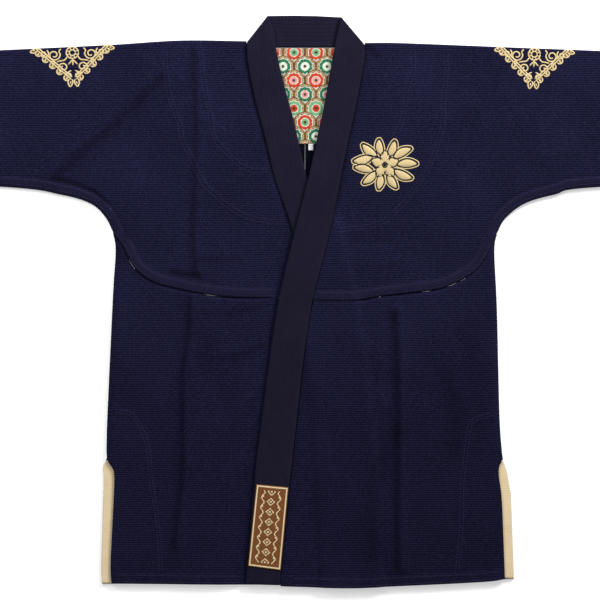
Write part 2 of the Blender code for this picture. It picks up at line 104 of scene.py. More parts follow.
# The curved chest seam of each front, from the armpit to the lapel, and of the back, to its middle.
SEAM_LEFT = (
    Point(-288.0, 104.0), Point(-273.0, 82.0), Point(-256.0, 50.0), Point(-226.0, 28.5),
    Point(-189.0, 18.5), Point(-145.0, 10.0), Point(-97.0, 5.5), Point(-42.0, 5.2), Point(1.0, 5.0),
)
SEAM_RIGHT = (
    Point(288.0, 102.0), Point(277.5, 79.0), Point(263.0, 54.0), Point(243.0, 36.5),
    Point(208.5, 20.5), Point(171.0, 14.0), Point(118.0, 8.0), Point(71.0, 0.8), Point(12.5, 1.0),
)
BACK_SEAM = (
    Point(288.0, 103.0), Point(274.0, 80.0), Point(254.0, 47.0), Point(226.0, 27.0),
    Point(180.0, 15.0), Point(110.0, 7.0), Point(0.3, 5.0),
)

# The front skirts' outer edges, from the hem past the vent to the armpit.
SIDE_LEFT = (
    Point(-290.3, -423.0), Point(-291.6, -392.0), Point(-286.8, -291.0), Point(-286.2, -262.5),
    Point(-288.2, -251.0), Point(-296.5, -237.0), Point(-297.7, -208.0), Point(-295.5, -148.0),
    Point(-288.0, 10.0), Point(-284.0, 77.0), Point(-288.0, 103.7),
)
SIDE_RIGHT = (
    Point(300.0, -416.5), Point(298.0, -363.0), Point(295.2, -297.0), Point(291.0, -262.5),
    Point(291.5, -247.0), Point(295.6, -233.0), Point(291.8, -170.0), Point(288.0, -13.0),
    Point(284.0, 77.0), Point(288.0, 101.7),
)
# The back skirt's outer edges, which the vents leave bare, with the tape's outer edge.
BACK_SIDE_LEFT = (
    Point(-305.0, -424.0), Point(-306.0, -394.5), Point(-303.0, -298.0), Point(-302.3, -262.5),
    Point(-303.0, -247.0), Point(-298.0, -236.0), Point(-297.7, -208.0), Point(-295.5, -148.0),
    Point(-288.0, 10.0), Point(-284.0, 77.0), Point(-288.0, 102.7),
)
BACK_SIDE_RIGHT = (
    Point(314.0, -416.5), Point(309.6, -297.0), Point(308.0, -283.0), Point(303.0, -254.0),
    Point(297.0, -235.0), Point(291.8, -170.0), Point(288.0, -13.0), Point(284.0, 77.0),
    Point(288.0, 102.7),
)
HEM_LEFT = (Point(-290.3, -423.0), Point(-90.0, -425.0), Point(40.6, -425.5))
HEM_RIGHT = (Point(300.0, -416.5), Point(262.0, -421.0), Point(127.0, -427.5), Point(60.0, -429.7),
             Point(-37.0, -427.0))
HEM_BACK = (Point(-305.0, -424.0), Point(-90.0, -425.0), Point(127.0, -427.0), Point(314.0, -416.5))

# The lapels, from the neck to the hem. The seam edge is sewn to the front, and the free edge hangs.
LAPEL_UNDER = (
    Section(-87.0, 389.0, -55.5, 429.0, 4.9), Section(-87.3, 376.0, -47.0, 406.0, 4.9),
    Section(-86.0, 358.0, -43.3, 379.0, 4.9), Section(-76.5, 308.0, -33.0, 332.0, 3.7),
    Section(-61.5, 251.0, -15.0, 264.0, 3.7), Section(-44.0, 179.0, 1.5, 193.0, 2.9),
    Section(-18.5, 104.0, 29.0, 114.0, 2.4), Section(2.0, 5.0, 51.0, 13.0, 2.4),
    Section(13.0, -60.0, 63.0, -54.0, 2.4), Section(24.0, -150.0, 74.0, -145.0, 2.4),
    Section(33.0, -250.0, 83.0, -247.0, 2.4), Section(41.0, -424.5, 91.0, -424.5, 2.4),
)
LAPEL_TOP = (
    Section(88.5, 386.0, 54.0, 427.0, 4.9), Section(90.0, 373.0, 48.0, 402.0, 4.9),
    Section(88.5, 358.0, 43.3, 376.0, 4.9), Section(76.0, 292.0, 30.0, 301.0, 4.4),
    Section(64.5, 240.0, 19.0, 249.0, 6.4), Section(52.5, 181.0, 6.0, 190.0, 8.2),
    Section(35.5, 97.0, -15.6, 105.0, 7.7), Section(13.5, 13.0, -36.0, 20.0, 7.4),
    Section(4.0, -41.0, -46.0, -36.0, 6.6), Section(-4.5, -104.0, -55.0, -99.0, 5.3),
    Section(-18.5, -233.0, -72.0, -229.0, 4.9), Section(-24.0, -278.0, -76.5, -274.0, 4.9),
    Section(-36.0, -400.0, -86.5, -397.0, 4.9), Section(-37.5, -425.5, -90.0, -424.0, 4.9),
)

# The neck band behind the neck, between the two slanting folds where it turns into the lapels.
NECKLINE = (Point(-85.0, 391.3), Point(-43.5, 381.2), Point(45.0, 381.2), Point(87.0, 388.6))
NECK_BAND_TOP = (Point(-55.5, 429.0), Point(-30.0, 429.7), Point(30.0, 428.6), Point(54.0, 427.0))

LINING_TOP = 381.0
LINING_FOOT = 237.0
LINING_HALF_TOP = 66.0
LINING_HALF_FOOT = 34.0
LINING_NARROWS = 0.45  # how quickly the lining's sides draw in below the neck
LINING_HALF_NECK = 44.0  # at its very top, under the neck band's foot
LINING_SPREAD = 600.0  # how quickly it widens from there
LINING_GAP = 0.9  # between the lining's top and the neck band

TAB_SIZE = (7.5, 9.5)
TAB_PLACE = Point(5.0, 227.0)

LABEL_CORNERS = (Point(-85.5, -396.3), Point(-36.4, -402.8), Point(-24.8, -278.3), Point(-72.9, -273.8))

TAPE_TOP_Y = -238.0
TAPE_SHOWS = 13.0  # the width of a vent tape that the front leaves bare
TAPE_TUCK = 7.0  # how far a vent tape reaches in under the front's edge
VENT_LIFT_Y, VENT_LIFT_FADE = -205.0, 20.0  # where a front's edge begins to rise over its vent's tape

# Where the right front and its lapel press on the left one: how far past the lapel's free edge, over how far
# that fades, the height on the jacket where it ends, and over how far it ends there.
PRESS_MARGIN, PRESS_FADE, PRESS_TOP, PRESS_TOP_FADE = 14.0, 26.0, 215.0, 30.0
# Where the under lapel lifts the right front: how far before its seam edge and beyond its free one, over how
# far that fades, the height on the jacket where it ends, and over how far it ends there.
LIFT_BEFORE, LIFT_BEYOND, LIFT_FADE, LIFT_TOP, LIFT_TOP_FADE = 10.0, 18.0, 14.0, 190.0, 25.0

# The largest folds: where the jacket was folded in its packet, and where it does not lie quite flat.
FOLDS = (
    Fold(((-163.5, 376.0), (-160.5, 275.0), (-162.0, 157.0), (-165.0, 94.0), (-161.0, 40.0)), 9.0, 1.5),
    Fold(((-169.5, 4.0), (-171.0, -46.0), (-181.5, -110.0), (-180.0, -245.0), (-193.5, -365.0)), 9.0, 1.6),
    Fold(((-379.5, 182.0), (-327.0, 232.0), (-282.0, 269.0), (-210.0, 338.0)), 16.0, 1.8),
    Fold(((137.0, -14.0), (140.0, -83.0), (142.5, -158.0), (141.0, -290.0), (142.5, -400.0)), 9.0, 1.9),
    Fold(((126.0, -28.0), (126.0, -140.0)), 9.0, -1.4),
    Fold(((218.0, -113.0), (220.5, -163.0), (217.5, -208.0)), 12.0, 1.2),
    Fold(((70.0, 92.0), (124.5, 94.0)), 9.0, -1.0),
    Fold(((315.0, 250.0), (330.0, 210.0)), 16.0, -1.2),
    Fold(((510.0, 310.0), (430.0, 250.0), (360.0, 215.0)), 18.0, 1.2),
)

# Softer creases than the solids hold: packing folds, and where the cloth has been pulled or pressed.
CREASES = (
    Fold(((-147.0, -88.0), (-112.0, -82.0), (-80.0, -68.0)), 6.0, 0.7),
    Fold(((-120.0, -21.0), (-82.0, -14.0)), 5.0, -0.6),
    Fold(((-146.0, 67.0), (-98.0, 67.0)), 7.0, 0.6),
    Fold(((-263.0, 250.0), (-240.0, 200.0), (-236.0, 120.0)), 10.0, -0.5),
    Fold(((70.0, 59.0), (140.0, 59.0)), 7.0, 0.7),
    Fold(((72.0, -193.0), (120.0, -170.0)), 8.0, -0.8),
    Fold(((138.0, -202.0), (108.0, -248.0), (102.0, -308.0), (102.0, -380.0)), 11.0, -1.3),
    Fold(((128.0, -150.0), (131.0, -300.0), (132.0, -395.0)), 6.0, -0.8),
    Fold(((226.0, -150.0), (228.0, -270.0), (222.0, -330.0)), 13.0, -0.9),
    Fold(((-178.0, -260.0), (-204.0, -330.0), (-214.0, -400.0)), 12.0, -0.7),
    Fold(((-250.0, -60.0), (-246.0, -170.0)), 16.0, -0.6),
    Fold(((240.0, 300.0), (262.0, 262.0), (268.0, 200.0)), 12.0, 0.6),
    Fold(((-560.0, 330.0), (-500.0, 250.0), (-470.0, 200.0)), 20.0, 1.0),
    Fold(((610.0, 330.0), (560.0, 260.0), (540.0, 205.0)), 20.0, 1.0),
    Fold(((-690.0, 340.0), (-670.0, 270.0), (-680.0, 205.0)), 14.0, -0.9),
    Fold(((700.0, 345.0), (690.0, 280.0), (672.0, 205.0)), 14.0, -0.9),
    Fold(((60.0, -300.0), (96.0, -310.0)), 7.0, 0.6),
    Fold(((-60.0, 150.0), (-130.0, 196.0), (-150.0, 250.0)), 14.0, -0.5),
    Fold(((-163.5, 376.0), (-160.5, 275.0), (-162.0, 157.0), (-165.0, 94.0), (-161.0, 42.0)), 5.0, 0.8),
    Fold(((-169.5, -4.0), (-171.0, -46.0), (-181.5, -110.0), (-180.0, -245.0), (-193.5, -365.0)), 4.5, 1.1),
    Fold(((-372.0, 186.0), (-327.0, 230.0), (-282.0, 267.0), (-215.0, 334.0)), 6.0, -1.2),
    Fold(((-378.0, 184.0), (-345.0, 177.0), (-316.0, 164.0), (-300.0, 148.0)), 4.5, -1.2),
    Fold(((142.0, -14.0), (143.0, -83.0), (144.0, -158.0), (143.0, -290.0), (144.0, -400.0)), 4.5, 1.0),
    Fold(((-202.0, 44.0), (-184.0, 39.5), (-160.0, 38.0)), 4.0, -1.4),
    Fold(((86.0, 388.0), (107.0, 368.0)), 4.5, -1.4),
    Fold(((-88.0, 384.0), (-101.0, 360.0)), 5.0, -0.8),
)

# Painted shade along the creases, where the folds shade the cloth: path, how far it reaches, and how dark it is
# at its middle.
CreaseShade = namedtuple("CreaseShade", "path reach dark")
CREASE_SHADES = (
    CreaseShade(((-166.0, 376.0), (-163.0, 275.0), (-165.0, 157.0), (-168.0, 94.0), (-163.0, 40.0)), 6.0, 0.26),
    CreaseShade(((-173.0, 4.0), (-175.0, -46.0), (-184.0, -110.0), (-183.0, -245.0), (-196.0, -365.0)), 5.0, 0.4),
    CreaseShade(((-375.0, 184.0), (-327.0, 230.0), (-282.0, 267.0), (-215.0, 334.0)), 8.0, 0.34),
    CreaseShade(((-378.0, 184.0), (-345.0, 177.0), (-316.0, 164.0), (-300.0, 148.0)), 4.0, 0.45),
    CreaseShade(((135.0, -14.0), (138.0, -83.0), (140.0, -158.0), (138.0, -290.0), (139.0, -400.0)), 6.0, 0.38),
    CreaseShade(((138.0, -202.0), (108.0, -248.0), (102.0, -308.0), (102.0, -380.0)), 15.0, 0.24),
    CreaseShade(((218.0, -105.0), (224.0, -160.0), (222.0, -225.0)), 13.0, 0.26),
    CreaseShade(((-202.0, 44.0), (-184.0, 39.5), (-160.0, 38.0)), 4.0, 0.5),
    CreaseShade(((-158.0, -79.0), (-112.0, -84.0), (-64.0, -67.0)), 5.0, 0.28),
    CreaseShade(((-154.0, -15.0), (-108.0, -21.0), (-64.0, -6.0)), 4.5, 0.2),
    CreaseShade(((-157.0, 64.0), (-99.0, 67.0)), 4.5, 0.2),
    CreaseShade(((74.0, 90.0), (128.0, 92.0)), 5.0, 0.2),
    CreaseShade(((-300.0, 118.0), (-276.0, 76.0), (-258.0, 46.0), (-228.0, 25.0)), 4.0, 0.3),
    CreaseShade(((86.0, 388.0), (107.0, 368.0)), 4.5, 0.35),
    CreaseShade(((60.0, -60.0), (120.0, -110.0), (190.0, -120.0)), 16.0, 0.12),
    CreaseShade(((240.0, -40.0), (262.0, -120.0), (258.0, -190.0)), 18.0, 0.14),
)

# The back's own creases, seen from below as soft hollows in the face that lies on the surface.
BACK_CREASES = (
    Fold(((163.0, 350.0), (160.0, 200.0), (166.0, 60.0)), 9.0, 0.6),
    Fold(((-168.0, 340.0), (-164.0, 190.0), (-170.0, 50.0)), 9.0, 0.6),
    Fold(((400.0, 330.0), (350.0, 280.0), (300.0, 200.0)), 14.0, 0.6),
    Fold(((-410.0, 330.0), (-350.0, 270.0), (-310.0, 210.0)), 14.0, 0.6),
    Fold(((620.0, 330.0), (600.0, 230.0)), 14.0, 0.5),
    Fold(((-640.0, 330.0), (-610.0, 230.0)), 14.0, 0.5),
    Fold(((160.0, -40.0), (170.0, -200.0), (158.0, -380.0)), 9.0, 0.6),
    Fold(((-165.0, -40.0), (-172.0, -200.0), (-166.0, -380.0)), 9.0, 0.6),
    Fold(((-60.0, -120.0), (40.0, -140.0), (110.0, -120.0)), 12.0, 0.5),
)

# Slow waves over all the cloth: length across, length along, turn and height.
Wave = namedtuple("Wave", "across along phase height")
WAVES = (
    Wave(161.0, 243.0, 0.4, 0.22), Wave(-118.0, 310.0, 2.1, 0.18), Wave(67.0, 150.0, 4.0, 0.12),
    Wave(-54.0, 96.0, 1.2, 0.08), Wave(420.0, 88.0, 3.3, 0.12), Wave(38.0, -71.0, 5.1, 0.05),
)
LAPEL_GROOVE = 1.2  # how far a front dips where it enters its lapel
LAPEL_REACH = 6.0

# The height that a seam's band adds, by the distance from the cut edge.
FELLED_BAND = ((0.0, 0.6, 1.4, 2.5, 3.4, 5.0, 8.0, 11.5, 12.6, 13.8, 15.5, 17.5),  # distances
               (-1.1, -0.1, 0.6, 0.95, 0.8, 1.15, 1.25, 1.1, 0.75, 0.8, 0.0, 0.0))
UNDERARM_BAND = ((0.0, 0.6, 1.4, 2.5, 5.0, 8.0, 11.0, 13.5, 15.0, 16.5, 20.0),
                 (-2.1, -1.5, -1.1, -0.8, -0.2, 0.3, 0.5, 0.45, -0.2, -0.8, 0.0))

# Where second layers behind the cloth end: each line is sewn with two rows of stitches.
YOKE_LEFT_OUTER = (
    (-210.0, 375.0), (-208.5, 347.0), (-202.5, 304.0), (-190.5, 275.0), (-183.0, 241.0), (-172.5, 220.0),
    (-154.5, 182.0), (-135.0, 160.0), (-114.0, 142.0), (-88.5, 128.0), (-60.0, 121.0), (-30.0, 119.0),
)
YOKE_LEFT_INNER = (
    (-156.0, 376.0), (-154.5, 350.0), (-150.0, 319.0), (-142.5, 281.0), (-135.0, 244.0), (-114.0, 220.0),
    (-94.5, 203.0), (-76.5, 196.0), (-56.0, 197.0),
)
YOKE_RIGHT_OUTER = (
    (211.5, 373.0), (211.5, 335.0), (207.0, 298.0), (207.0, 266.0), (196.5, 229.0), (183.0, 197.0),
    (159.0, 163.0), (145.5, 145.0), (115.5, 119.0), (78.0, 110.0), (44.0, 107.0),
)
YOKE_RIGHT_INNER = (
    (162.0, 373.0), (162.0, 344.0), (153.0, 319.0), (150.0, 292.0), (142.0, 262.0), (130.0, 240.0),
    (112.0, 220.0), (92.0, 206.0), (64.0, 200.0),
)
VENT_PATCH_LEFT = (
    (-286.0, -164.0), (-274.5, -166.0), (-259.5, -170.0), (-241.5, -200.0), (-234.0, -233.0),
    (-231.0, -271.0), (-223.5, -313.0), (-219.0, -358.0), (-216.0, -407.0),
)
VENT_PATCH_RIGHT = (
    (284.0, -168.0), (265.5, -173.0), (247.5, -186.0), (240.0, -238.0), (235.5, -275.0), (234.0, -346.0),
    (228.0, -404.0),
)

# Behind these lines a second layer ends, so the cloth over it steps: the same form as a low, narrow fold.
LAYER_EDGES = tuple(Fold(path, 4.5, 0.45) for path in (
    YOKE_LEFT_OUTER, YOKE_LEFT_INNER, YOKE_RIGHT_OUTER, YOKE_RIGHT_INNER, VENT_PATCH_LEFT, VENT_PATCH_RIGHT))

STEP = 3.4  # the nets' spacing
LAPEL_STEP = 6.0
LAPEL_ROWS = 8  # rows of stitching along a lapel
LAPEL_ROW_INSET = 3.2  # the first and the last of them, from the lapel's edges
QUILT_WIDTH, QUILT_DEPTH = 0.9, 0.05  # the groove under a row; its depth is a share of the lapel's thickness
EDGE_ROUND = 2.2
SEWN = 0.04  # how far two pieces sewn edge to edge stay apart

# The nets' own rows and columns by distance from an edge, closest where a band or a turn begins and ends, and
# how many even rows lie between those at the foot and those at the top.
UPPER_FOOT_ROWS = (0.0, 0.6, 1.4, 2.5, 5.0, 8.0, 11.0, 12.6, 13.8, 15.5, 17.5, 20.0)
UPPER_TOP_ROWS = (12.0, 8.0, 5.5, FRONT_TOP / 2)
SKIRT_FOOT_ROWS = (0.0, 0.7, 1.6, 3.0, 8.0, 12.5, 13.8, 15.2, 16.6, 18.0)
SKIRT_TOP_ROWS = (8.0, 4.5, 3.0, 1.5, 0.7, 0.0)
CUFF_COLUMNS = (0.7, 1.6, 3.0, 26.4, 28.0, 29.6, 31.0)
SIDE_COLUMNS = (0.8, 2.0, 3.5, 6.0)
LAPEL_COLUMNS = (2.0, 0.8)
UPPER_ROWS, SKIRT_ROWS = 92, 118
RIDGE_STEPS = 10  # round the fold over the shoulder

# Rows of stitches, by distance from the edge or to both sides of the line.
FELLED_STITCHES, UNDERARM_STITCHES, HEM_STITCHES = (3.4, 12.6), (5.0, 13.0), (3.0, 12.5)
CUFF_STITCHES = (4.0, 10.0, 16.0, 22.0, 26.0)
YOKE_STITCHES, VENT_STITCHES = (-3.0, 3.0), (-2.5, 2.5)
BINDING_PITCH, BINDING_FROM, BINDING_TO = 2.2, 1.6, 7.0  # the neck band's threads, from its lower edge
SPINE_STITCHES = 3.0  # from the centre back seam

# The part of the back that is seen inside the V, and how dark the painted shade makes it there, standing in for
# the shade under the lapels.
V_HALF, V_FOOT, INSIDE_SHADE = 110.0, 90.0, 0.3
WORDS = {-1: "left", 1: "right"}


def metres(points):
    return np.asarray(points, float) * MM


def line_of(points):
    """A smooth line through the table's points: a Catmull-Rom curve, with 12 steps between two points."""
    p = np.array([(q[0], q[1]) for q in points], float)
    p = np.vstack([2 * p[0] - p[1], p, 2 * p[-1] - p[-2]])
    t = np.linspace(0, 1, 12, endpoint=False)[:, None]
    spans = []
    for a, b, c, d in zip(p[:-3], p[1:-2], p[2:-1], p[3:]):
        bend = (2 * a - 5 * b + 4 * c - d) * t**2 + (3 * b - a - 3 * c + d) * t**3
        spans.append((2 * b + (c - a) * t + bend) / 2)
    return np.vstack(spans + [p[-2:-1]])


def along(line):
    """How far along the line each of its points is, in millimetres."""
    return np.concatenate([[0.0], np.cumsum(np.linalg.norm(np.diff(line, axis=0), axis=1))])


def at(line, share):
    """The points at these shares of the line's length."""
    far = along(line)
    return np.stack([np.interp(share, far / far[-1], line[:, k]) for k in (0, 1)], axis=-1)


def patch(feet, tops, left, right, v):
    """A net between four edges: feet and tops are the columns' ends, v is each row's share of its column.
    Each column is the straight line from foot to top, moved by how far the left and right edges bend."""
    u = (along(feet) / along(feet)[-1])[:, None, None]
    v3 = v[..., None]

    def bend(edge):
        return at(edge, v) - ((1 - v3) * edge[0] + v3 * edge[-1])

    return (1 - v3) * feet[:, None] + v3 * tops[:, None] + (1 - u) * bend(left) + u * bend(right)


def far_from(path, x, y):
    """How far each point is from a path of straight runs."""
    p = np.array(path, float)
    best = np.full(np.shape(x), np.inf)
    for a, b in zip(p[:-1], p[1:]):
        run = b - a
        t = np.clip(((x - a[0]) * run[0] + (y - a[1]) * run[1]) / (run @ run), 0, 1)
        best = np.minimum(best, np.hypot(x - a[0] - t * run[0], y - a[1] - t * run[1]))
    return best


def ease(share):
    s = np.clip(share, 0, 1)
    return s * s * (3 - 2 * s)


def edge_x(sections, which, y):
    """Where a lapel's seam or free edge is at height y on the jacket."""
    ys = np.array([getattr(s, which + "_y") for s in sections])[::-1]
    xs = np.array([getattr(s, which + "_x") for s in sections])[::-1]
    return np.interp(y, ys, xs)


def places(length, marks, step=STEP):
    """Places along a length, about a step apart, and at the marks."""
    even = np.linspace(0, length, max(2, round(length / step) + 1))
    marks = np.array(marks, float)
    apart = np.abs(even[:, None] - marks[None]).min(1) > step * 0.3
    apart[[0, -1]] = True
    return np.unique(np.concatenate([even[apart], marks]))


def row_shares(feet, tops, near_foot, count, near_top):
    """Each column's row shares: rows a fixed way from the foot, even rows between, rows near the top."""
    length = np.linalg.norm(tops - feet, axis=1)[:, None]
    low = np.array(near_foot)[None] / length
    high = 1 - np.array(near_top)[None] / length
    between = low[:, -1:] + (high[:, :1] - low[:, -1:]) * np.linspace(0, 1, count + 2)[None, 1:-1]
    return np.hstack([low, between, high])


def bells(x, y, folds):
    """The sum of the folds' heights, each a bell curve of the distance from its path."""
    return sum(f.height * np.exp(-((far_from(f.path, x, y) / f.width) ** 2)) for f in folds)


def soft_folds(x, y):
    """The height that folds and creases add: each ridge or trough fades away from its path as a bell curve,
    and slow waves lie over all of them."""
    z = bells(x, y, FOLDS + CREASES + LAYER_EDGES)
    return z + sum(w.height * np.sin(2 * np.pi * (x / w.across + y / w.along) + w.phase) for w in WAVES)


def left_height(x, y):
    """The left front: low under the top lapel and the right front, and up to its own height beside them."""
    outside = edge_x(LAPEL_TOP, "free", y) - PRESS_MARGIN - x
    crossing = ease((PRESS_TOP - y) / PRESS_TOP_FADE)  # above the lapels' crossing nothing presses on it
    pressed = (1 - ease(outside / PRESS_FADE)) * crossing
    return FRONT_TOP + soft_folds(x, y) * (1 - pressed) - (FRONT_TOP - UNDER_TOP) * pressed


def lifted(x, y):
    """How far the right front is lifted by the under lapel: 1 over it, easing to 0 beside it."""
    before = edge_x(LAPEL_UNDER, "seam", y) - LIFT_BEFORE - x
    beyond = x - edge_x(LAPEL_UNDER, "free", y) - LIFT_BEYOND
    beside = (1 - ease(before / LIFT_FADE)) * (1 - ease(beyond / LIFT_FADE))
    return beside * ease((LIFT_TOP - y) / LIFT_TOP_FADE)


def right_height(x, y):
    """The right front: over the left one near its lapel, higher over the under lapel, then its own height."""
    lift = lifted(x, y)
    base = np.where(x < edge_x(LAPEL_UNDER, "seam", y), OVER_TOP, FRONT_TOP)
    return base + (LAPEL_RISE - base) * lift + soft_folds(x, y) * (1 - lift)


def settle(x, y, z, side):
    """Keeps a front's outer face clear of what lies below it, and the left front clear of what lies on it."""
    z = np.maximum(z, EDGE_TOP)
    if side < 0:
        pressed = (x > edge_x(LAPEL_TOP, "free", y) - PRESS_MARGIN) & (y < PRESS_TOP - PRESS_TOP_FADE)
        return np.where(pressed, np.minimum(z, UNDER_TOP), z)
    return np.where(lifted(x, y) > 0.999, np.maximum(z, LAPEL_CLEAR), z)


def lapel_edge_of(sections, seam_end, top_end, away):
    """The line where a front meets its lapel, between two heights, a gap away from the lapel's seam edge."""
    line = line_of([(s.seam_x, s.seam_y) for s in sections])
    kept = line[(line[:, 1] < top_end[1] - 6) & (line[:, 1] > seam_end[1] + 4)][::-4] + (away, 0)
    return [tuple(seam_end)] + [tuple(p) for p in kept] + [tuple(top_end)]


Edges = namedtuple("Edges", "ridge underarm cuff seam hem side lapel lapel_low lapel_line")


def edges_of(ridge, underarm, seam, hem, side_edge, sections, away):
    """All the lines of one side of the jacket, as smooth paths."""
    skirt_top = (seam[-1].x, seam[-1].y - GAP)
    cuff = (underarm[0], ridge[0])
    lapel = lapel_edge_of(sections, seam[-1], ridge[-1], away)
    lapel_low = lapel_edge_of(sections, hem[-1], skirt_top, away)
    lapel_line = [(s.seam_x, s.seam_y) for s in sections]
    paths = (ridge, underarm, cuff, seam, hem, side_edge, lapel, lapel_low, lapel_line)
    return Edges(*(line_of(path) for path in paths))


EDGES = {
    -1: edges_of(RIDGE_LEFT, UNDERARM_LEFT, SEAM_LEFT, HEM_LEFT, SIDE_LEFT, LAPEL_UNDER, -2 * GAP),
    1: edges_of(RIDGE_RIGHT, UNDERARM_RIGHT, SEAM_RIGHT, HEM_RIGHT, SIDE_RIGHT, LAPEL_TOP, 2 * GAP),
}


def front_height(x, y, side):
    """A front's own height, with a dip along the lapel that it enters."""
    z = left_height(x, y) if side < 0 else right_height(x, y)
    return z - LAPEL_GROOVE * np.exp(-((far_from(EDGES[side].lapel_line, x, y) / LAPEL_REACH) ** 2))


def on_body(y):
    """1 where a front's lower edge is the chest seam, easing to 0 where it is the seam under the arm."""
    return ease((ARMPIT_Y - y) / ARMPIT_FADE)


def upper_face(x, y, side):
    """An upper's outer face: the front's height, the felled band above the chest seam, the band under the
    arm that comes down to the back's edge, and the turned cuff."""
    e = EDGES[side]
    below = on_body(y)
    from_arm = far_from(e.underarm, x, y)
    z = front_height(x, y, side) + below * np.interp(far_from(e.seam, x, y), *FELLED_BAND)
    z = z + (1 - below) * np.interp(from_arm, *UNDERARM_BAND)
    z = z + TURN_RISE * (1 - ease((far_from(e.cuff, x, y) - CUFF_TURN + 2) / 4)) * ease(from_arm / 4)
    return settle(x, y, z, side)


def skirt_face(x, y, side):
    """A front skirt's outer face: the front's height, the turned hem, the groove at the chest seam, and the
    outer edge, which lies on the back, or on the vent's tape below the vent's top."""
    e = EDGES[side]
    z = front_height(x, y, side) + TURN_RISE * (1 - ease((far_from(e.hem, x, y) - HEM_TURN + 1.5) / 3))
    z = z - SEAM_DIP * (1 - ease(far_from(e.seam, x, y) / SEAM_DIP_REACH))
    edge = EDGE_TOP + (VENT_TOP - EDGE_TOP) * ease((VENT_LIFT_Y - y) / VENT_LIFT_FADE)
    inwards = np.sin(np.pi / 2 * np.clip(far_from(e.side, x, y) / SIDE_ROUND, 0, 1))
    return settle(x, y, edge + (z - edge) * inwards, side)


def ridge_face(x, y, side):
    """An upper's outer face with the round fold over the shoulder, for what is sewn close to it."""
    z = upper_face(x, y, side)
    down = 1 - np.clip(far_from(EDGES[side].ridge, x, y) / (z / 2), 0, 1)
    return z / 2 * (1 + np.sqrt(1 - down**2))


def hexcolour(code):
    """An sRGB hex value as linear red, green, blue and alpha."""
    c = np.array([int(code[k : k + 2], 16) for k in (1, 3, 5)]) / 255
    return tuple(np.where(c <= 0.04045, c / 12.92, ((c + 0.055) / 1.055) ** 2.4)) + (1.0,)


def put(tree, kind, sockets, **settings):
    """Adds a node: settings are its properties, and sockets gives each input a value or another's output."""
    new = tree.nodes.new("ShaderNode" + kind)
    for key, value in settings.items():
        setattr(new, key, value)
    for key, value in sockets.items():
        if isinstance(value, bpy.types.NodeSocket):
            tree.links.new(value, new.inputs[key])
        else:
            new.inputs[key].default_value = value
    return new.outputs


def new_material(name, **sockets):
    """A material with its shader's own sockets set. Returns it, its node tree and its shader."""
    material = bpy.data.materials.new(name)
    material.use_nodes = True
    shader = material.node_tree.nodes["Principled BSDF"]
    for key, value in sockets.items():
        shader.inputs[key.replace("_", " ")].default_value = value
    return material, material.node_tree, shader


